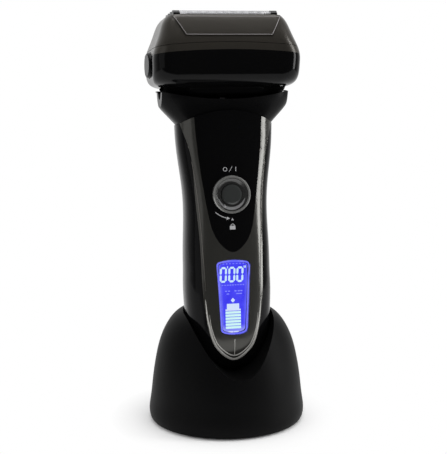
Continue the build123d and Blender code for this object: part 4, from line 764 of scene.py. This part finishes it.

# A thin matt black strip is laid on the cup's rim as painted shade, to keep the rim as dark as the shade
# under the head. Seen from above the rim is a superellipse that widens with height, and its height rises
# along an arc from the middle of the front and back to the sides.
# Width and height depend on each other, so they are worked out in four rounds.
RIM_FRONT, RIM_REAR, RIM_SIDE, RIM_HALF = 0.1256, 0.1290, 0.1301, 0.0322
CUP_HEIGHTS = np.array([0.1230, 0.1260, 0.1290, 0.1325])
CUP_HALF_WIDTHS = np.array([0.0301, 0.0315, 0.0322, 0.0324])
CUP_HALF_DEPTHS = np.array([0.0136, 0.0147, 0.0158, 0.0166])
LIP_IN_AT_SIDES, LIP_IN_AT_FRONT = 0.0018, 0.0009  # how far inside the cup's outer face the lip runs
LIP_WIDTH, LIP_HEIGHT, LIP_POINTS = 0.0019, 0.00012, 120
spin = np.linspace(0, 2 * pi, LIP_POINTS, endpoint=False)
across = np.sign(np.cos(spin)) * np.abs(np.cos(spin)) ** 0.8
back = np.sign(np.sin(spin)) * np.abs(np.sin(spin)) ** 0.8
rim_z = np.full(LIP_POINTS, RIM_SIDE)
for _ in range(4):
    rim_x = np.interp(rim_z, CUP_HEIGHTS, CUP_HALF_WIDTHS - LIP_IN_AT_SIDES) * across
    rim_y = np.interp(rim_z, CUP_HEIGHTS, CUP_HALF_DEPTHS - LIP_IN_AT_FRONT) * back
    lowest = np.where(rim_y < 0, RIM_FRONT, RIM_REAR)
    radius = (RIM_HALF**2 + (RIM_SIDE - lowest) ** 2) / (2 * (RIM_SIDE - lowest))
    rim_z = lowest + radius - np.sqrt(radius**2 - rim_x**2)
spots = on_handle(rim_x, rim_y, rim_z)
ways = np.broadcast_to([0.0, sin(LEAN), cos(LEAN)], spots.shape)
# This near-black matt finish is painted shade. It is used on the rim strip and on the sheet in the gap
# below the head.
painted_shade_black = satin_plastic("painted_shade_black", (0.003, 0.003, 0.003, 1), roughness=0.8, specular=0.03)
make_piece("rim_shade_strip", *bead(spots, ways, LIP_WIDTH, LIP_HEIGHT, True), "handle", painted_shade_black)

# The skirt is the underside of a barrel about the head's pivot. Its radius falls by the sixth power of
# the distance from the middle, so that only its ends are rounded.
PIVOT_HEIGHT = 0.141
SKIRT_RADIUS, SKIRT_HALF, SKIRT_END_FALL, SKIRT_WALL = 0.0139, 0.0285, 0.0025, 0.0005
SKIRT_TURN = radians(72)
reach = np.linspace(-1.0, 1.0, 33)
radius = SKIRT_RADIUS - SKIRT_END_FALL * np.abs(reach) ** 6
angle = np.linspace(-SKIRT_TURN, SKIRT_TURN, 25)
outer = on_handle(
    reach[:, None] * SKIRT_HALF,
    radius[:, None] * np.sin(angle),
    PIVOT_HEIGHT - radius[:, None] * np.cos(angle),
)
skirt_faces = [face[::-1] for face in weave(33, 25)]
# The sheet is painted shade. It is near-black and matt, and darkens the gap under the head.
skirt = make_piece("gap_shade_sheet", outer, skirt_faces, "head", painted_shade_black)
wall = skirt.modifiers.new("wall", "SOLIDIFY")
wall.thickness = SKIRT_WALL
wall.offset = -1


# ------------------------------------------------------------------ head housing and release buttons
# The head's lower half is gloss black with a smoked upper rim that matches the foil frame.
# A push button with a grey rim is set in each end.
SMOKE = (0.041, 0.0365, 0.030, 1)

# The smoked rim starts at a height along the handle that falls with the square of x.
SMOKED_RIM, SMOKED_RIM_FALL, SMOKED_RIM_BLEND = 0.1475, 1.5, 0.00005
housing = new_material("housing_black_smoked_rim")
spot, x, y, z = housing.place()
along_handle = (y - SEAT[1]) * sin(LEAN) + (z - SEAT[2]) * cos(LEAN)
over_rim = along_handle + SMOKED_RIM_FALL * x * x - SMOKED_RIM
rim = over_rim.between(-SMOKED_RIM_BLEND, SMOKED_RIM_BLEND)
broad = housing.noise(spot, 50.0)
orange = housing.bump(housing.noise(spot, 600.0, 1.0), 0.000004)
black_skin = housing.node("ShaderNodeBsdfPrincipled", None, {
    "Base Color": (0.0028, 0.0028, 0.003, 1),
    "Roughness": 0.1 + 0.05 * broad.between(0.45, 0.8),
    "Specular IOR Level": 0.13,
    "Normal": orange,
})[0]
smoked_skin = housing.node("ShaderNodeBsdfPrincipled", None, {
    "Base Color": SMOKE,
    "Metallic": 0.45,
    "Roughness": 0.28 + 0.08 * broad,
    "Coat Weight": 0.1,
    "Coat Roughness": 0.1,
    "Normal": orange,
})[0]
both = housing.node("ShaderNodeMixShader", None, {0: rim, 1: black_skin, 2: smoked_skin})[0]
housing.node("ShaderNodeOutputMaterial", None, {0: both})
dress(housing.owner, "head_housing")
dress(works_plastic, "head_chassis", "cutter_carriage")
dress(steel, "pivot_pin_left", "pivot_pin_right", "release_spring_left", "release_spring_right")
button_black = gloss_plastic("release_black", (0.004, 0.004, 0.0045, 1), roughness=0.3, specular=0.06)
rim_grey = metallised("release_rim_grey", (0.11, 0.11, 0.11, 1), roughness=0.3, metal=0.5, coat=0.0)
dress(button_black, "release_button_left", "release_button_right")

RELEASE_MIDDLE, RELEASE_HALF_Y, RELEASE_HALF_Z = 0.142, 0.0072, 0.0048
RELEASE_RIM, RELEASE_RIM_SUNK = 0.0007, 0.00002
for hand, word in ((-1, "left"), (1, "right")):
    low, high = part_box(f"release_button_{word}")
    face_x = low.x if hand < 0 else high.x
    spin = hand * np.linspace(0, 2 * pi, 48, endpoint=False)
    spots = on_handle(
        face_x - hand * RELEASE_RIM_SUNK,
        RELEASE_HALF_Y * np.sign(np.cos(spin)) * np.abs(np.cos(spin)) ** 0.8,
        RELEASE_MIDDLE + RELEASE_HALF_Z * np.sin(spin),
    )
    ways = np.broadcast_to([float(hand), 0.0, 0.0], spots.shape)
    points, faces = bead(spots, ways, RELEASE_RIM, 0.0, True)
    make_piece(f"release_rim_{word}", points, faces, f"release_{word}", rim_grey)


# ------------------------------------------------------------------ foil frame
# The frame over the foils is plastic with the same smoked film as the head's rim, and lifts
# off with the foils. Fine bright beads edge the flat facet on its front and its back.
smoked_frame = metallised("smoked_frame", SMOKE, roughness=0.28, metal=0.45, coat=0.1)
dress(smoked_frame, "foil_frame")
FACET = [(24.6, 162.7), (19.7, 154.2), (-19.7, 154.2), (-24.6, 162.7)]
EDGE_WIDTH, EDGE_HEIGHT = 0.0003, 0.00008
beads = []
for side in (-1, 1):
    for first, second in zip(FACET, FACET[1:] + FACET[:1]):
        line = np.linspace(first, second, 30)[::-side] / 1000
        spots, ways = feel(["foil_frame"], line[:, 0], line[:, 1], side)
        beads.append(bead(spots, ways, EDGE_WIDTH, EDGE_HEIGHT))
facet_edge_film = metallised("facet_edge_film", (0.26, 0.245, 0.25, 1), roughness=0.3, metal=0.2, coat=0.0)
make_piece("facet_edges", *join(beads), "cassette", facet_edge_film)


# ------------------------------------------------------------------ foils, carrier and cutters
# Four thin arched foils of etched steel, pierced with rows of fine holes, are clamped in a
# black carrier with an end cap at each end. Inner blades swing under them.
carrier_black = satin_plastic("carrier_black", (0.006, 0.006, 0.0065, 1), roughness=0.35, specular=0.3)
dress(carrier_black, "foil_carrier")
dress(steel, *[f"inner_blade_{i}" for i in range(1, 5)])
foil_steel = plain("foil_steel", (0.3, 0.3, 0.31, 1), roughness=0.4, metallic=0.9)
FOIL_COUNT, FOIL_PITCH = 4, 0.0061
FOIL_R, FOIL_CREST, FOIL_HALF, FOIL_LEG = 0.0027, 0.166, 0.0212, 0.0052
PIERCED_ARC = radians(150.0)
HOLE_PITCH, HOLE_ROWS = 0.00086, 9
HOLE_SHARE = 0.37  # a hole's radius as a share of its tile
TO_CORNER = 1.4143  # just over the root of two

# A tile is a square with an eight-sided hole: eight points on the square's edge, of which every second
# one is a corner, and eight round the hole. Tiles cover the arch along x and by angle about its axis.
holes = int(2 * FOIL_HALF / HOLE_PITCH)
step_x = 2 * FOIL_HALF / holes
step_turn = PIERCED_ARC / HOLE_ROWS
ring = np.radians(np.arange(8) * 45.0)
circle = np.stack([np.cos(ring), np.sin(ring)], 1)
tile = np.concatenate([np.clip(TO_CORNER * circle, -1, 1) / 2, circle * HOLE_SHARE])
middle_x = (np.arange(holes) + 0.5) * step_x - FOIL_HALF
middle_turn = (np.arange(HOLE_ROWS) + 0.5) * step_turn - PIERCED_ARC / 2
tiles_x, tiles_turn = np.broadcast_arrays(
    middle_x[None, :, None] + tile[None, None, :, 0] * step_x,
    middle_turn[:, None, None] + tile[None, None, :, 1] * step_turn,
)
corner = np.arange(8)
following = (corner + 1) % 8
tile_faces = np.stack([corner, following, 8 + following, 8 + corner], 1)
starts = 16 * np.arange(holes * HOLE_ROWS)[:, None, None]
arch_faces = (tile_faces[None] + starts).reshape(-1, 4).tolist()

# Below the arch each leg first moves out to the foil's full radius and then runs straight down.
down = np.linspace(0, 1, 4)[:, None]
out = np.minimum(1, 2 * down)
leg_ends = np.linspace(-FOIL_HALF, FOIL_HALF, 2)
arch_side, arch_foot = sin(PIERCED_ARC / 2), cos(PIERCED_ARC / 2)
axis_z = FOIL_CREST - FOIL_R
leg_z = axis_z + FOIL_R * arch_foot - FOIL_LEG * down
for i in range(1, FOIL_COUNT + 1):
    foil_y = (i - (FOIL_COUNT + 1) / 2) * FOIL_PITCH
    arch = on_handle(tiles_x, foil_y + FOIL_R * np.sin(tiles_turn), axis_z + FOIL_R * np.cos(tiles_turn))
    shapes = [(arch, arch_faces)]
    for leg in (-1, 1):
        leg_y = foil_y + leg * FOIL_R * (arch_side + (1 - arch_side) * out)
        leg_faces = [face[::-leg] for face in weave(4, 2)]
        shapes.append((on_handle(leg_ends, leg_y, leg_z), leg_faces))
    points, faces = join(shapes)
    foil = make_piece(f"pierced_foil_{i}", points, faces, "cassette", foil_steel, smooth=False)
    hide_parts(f"foil_{i}")
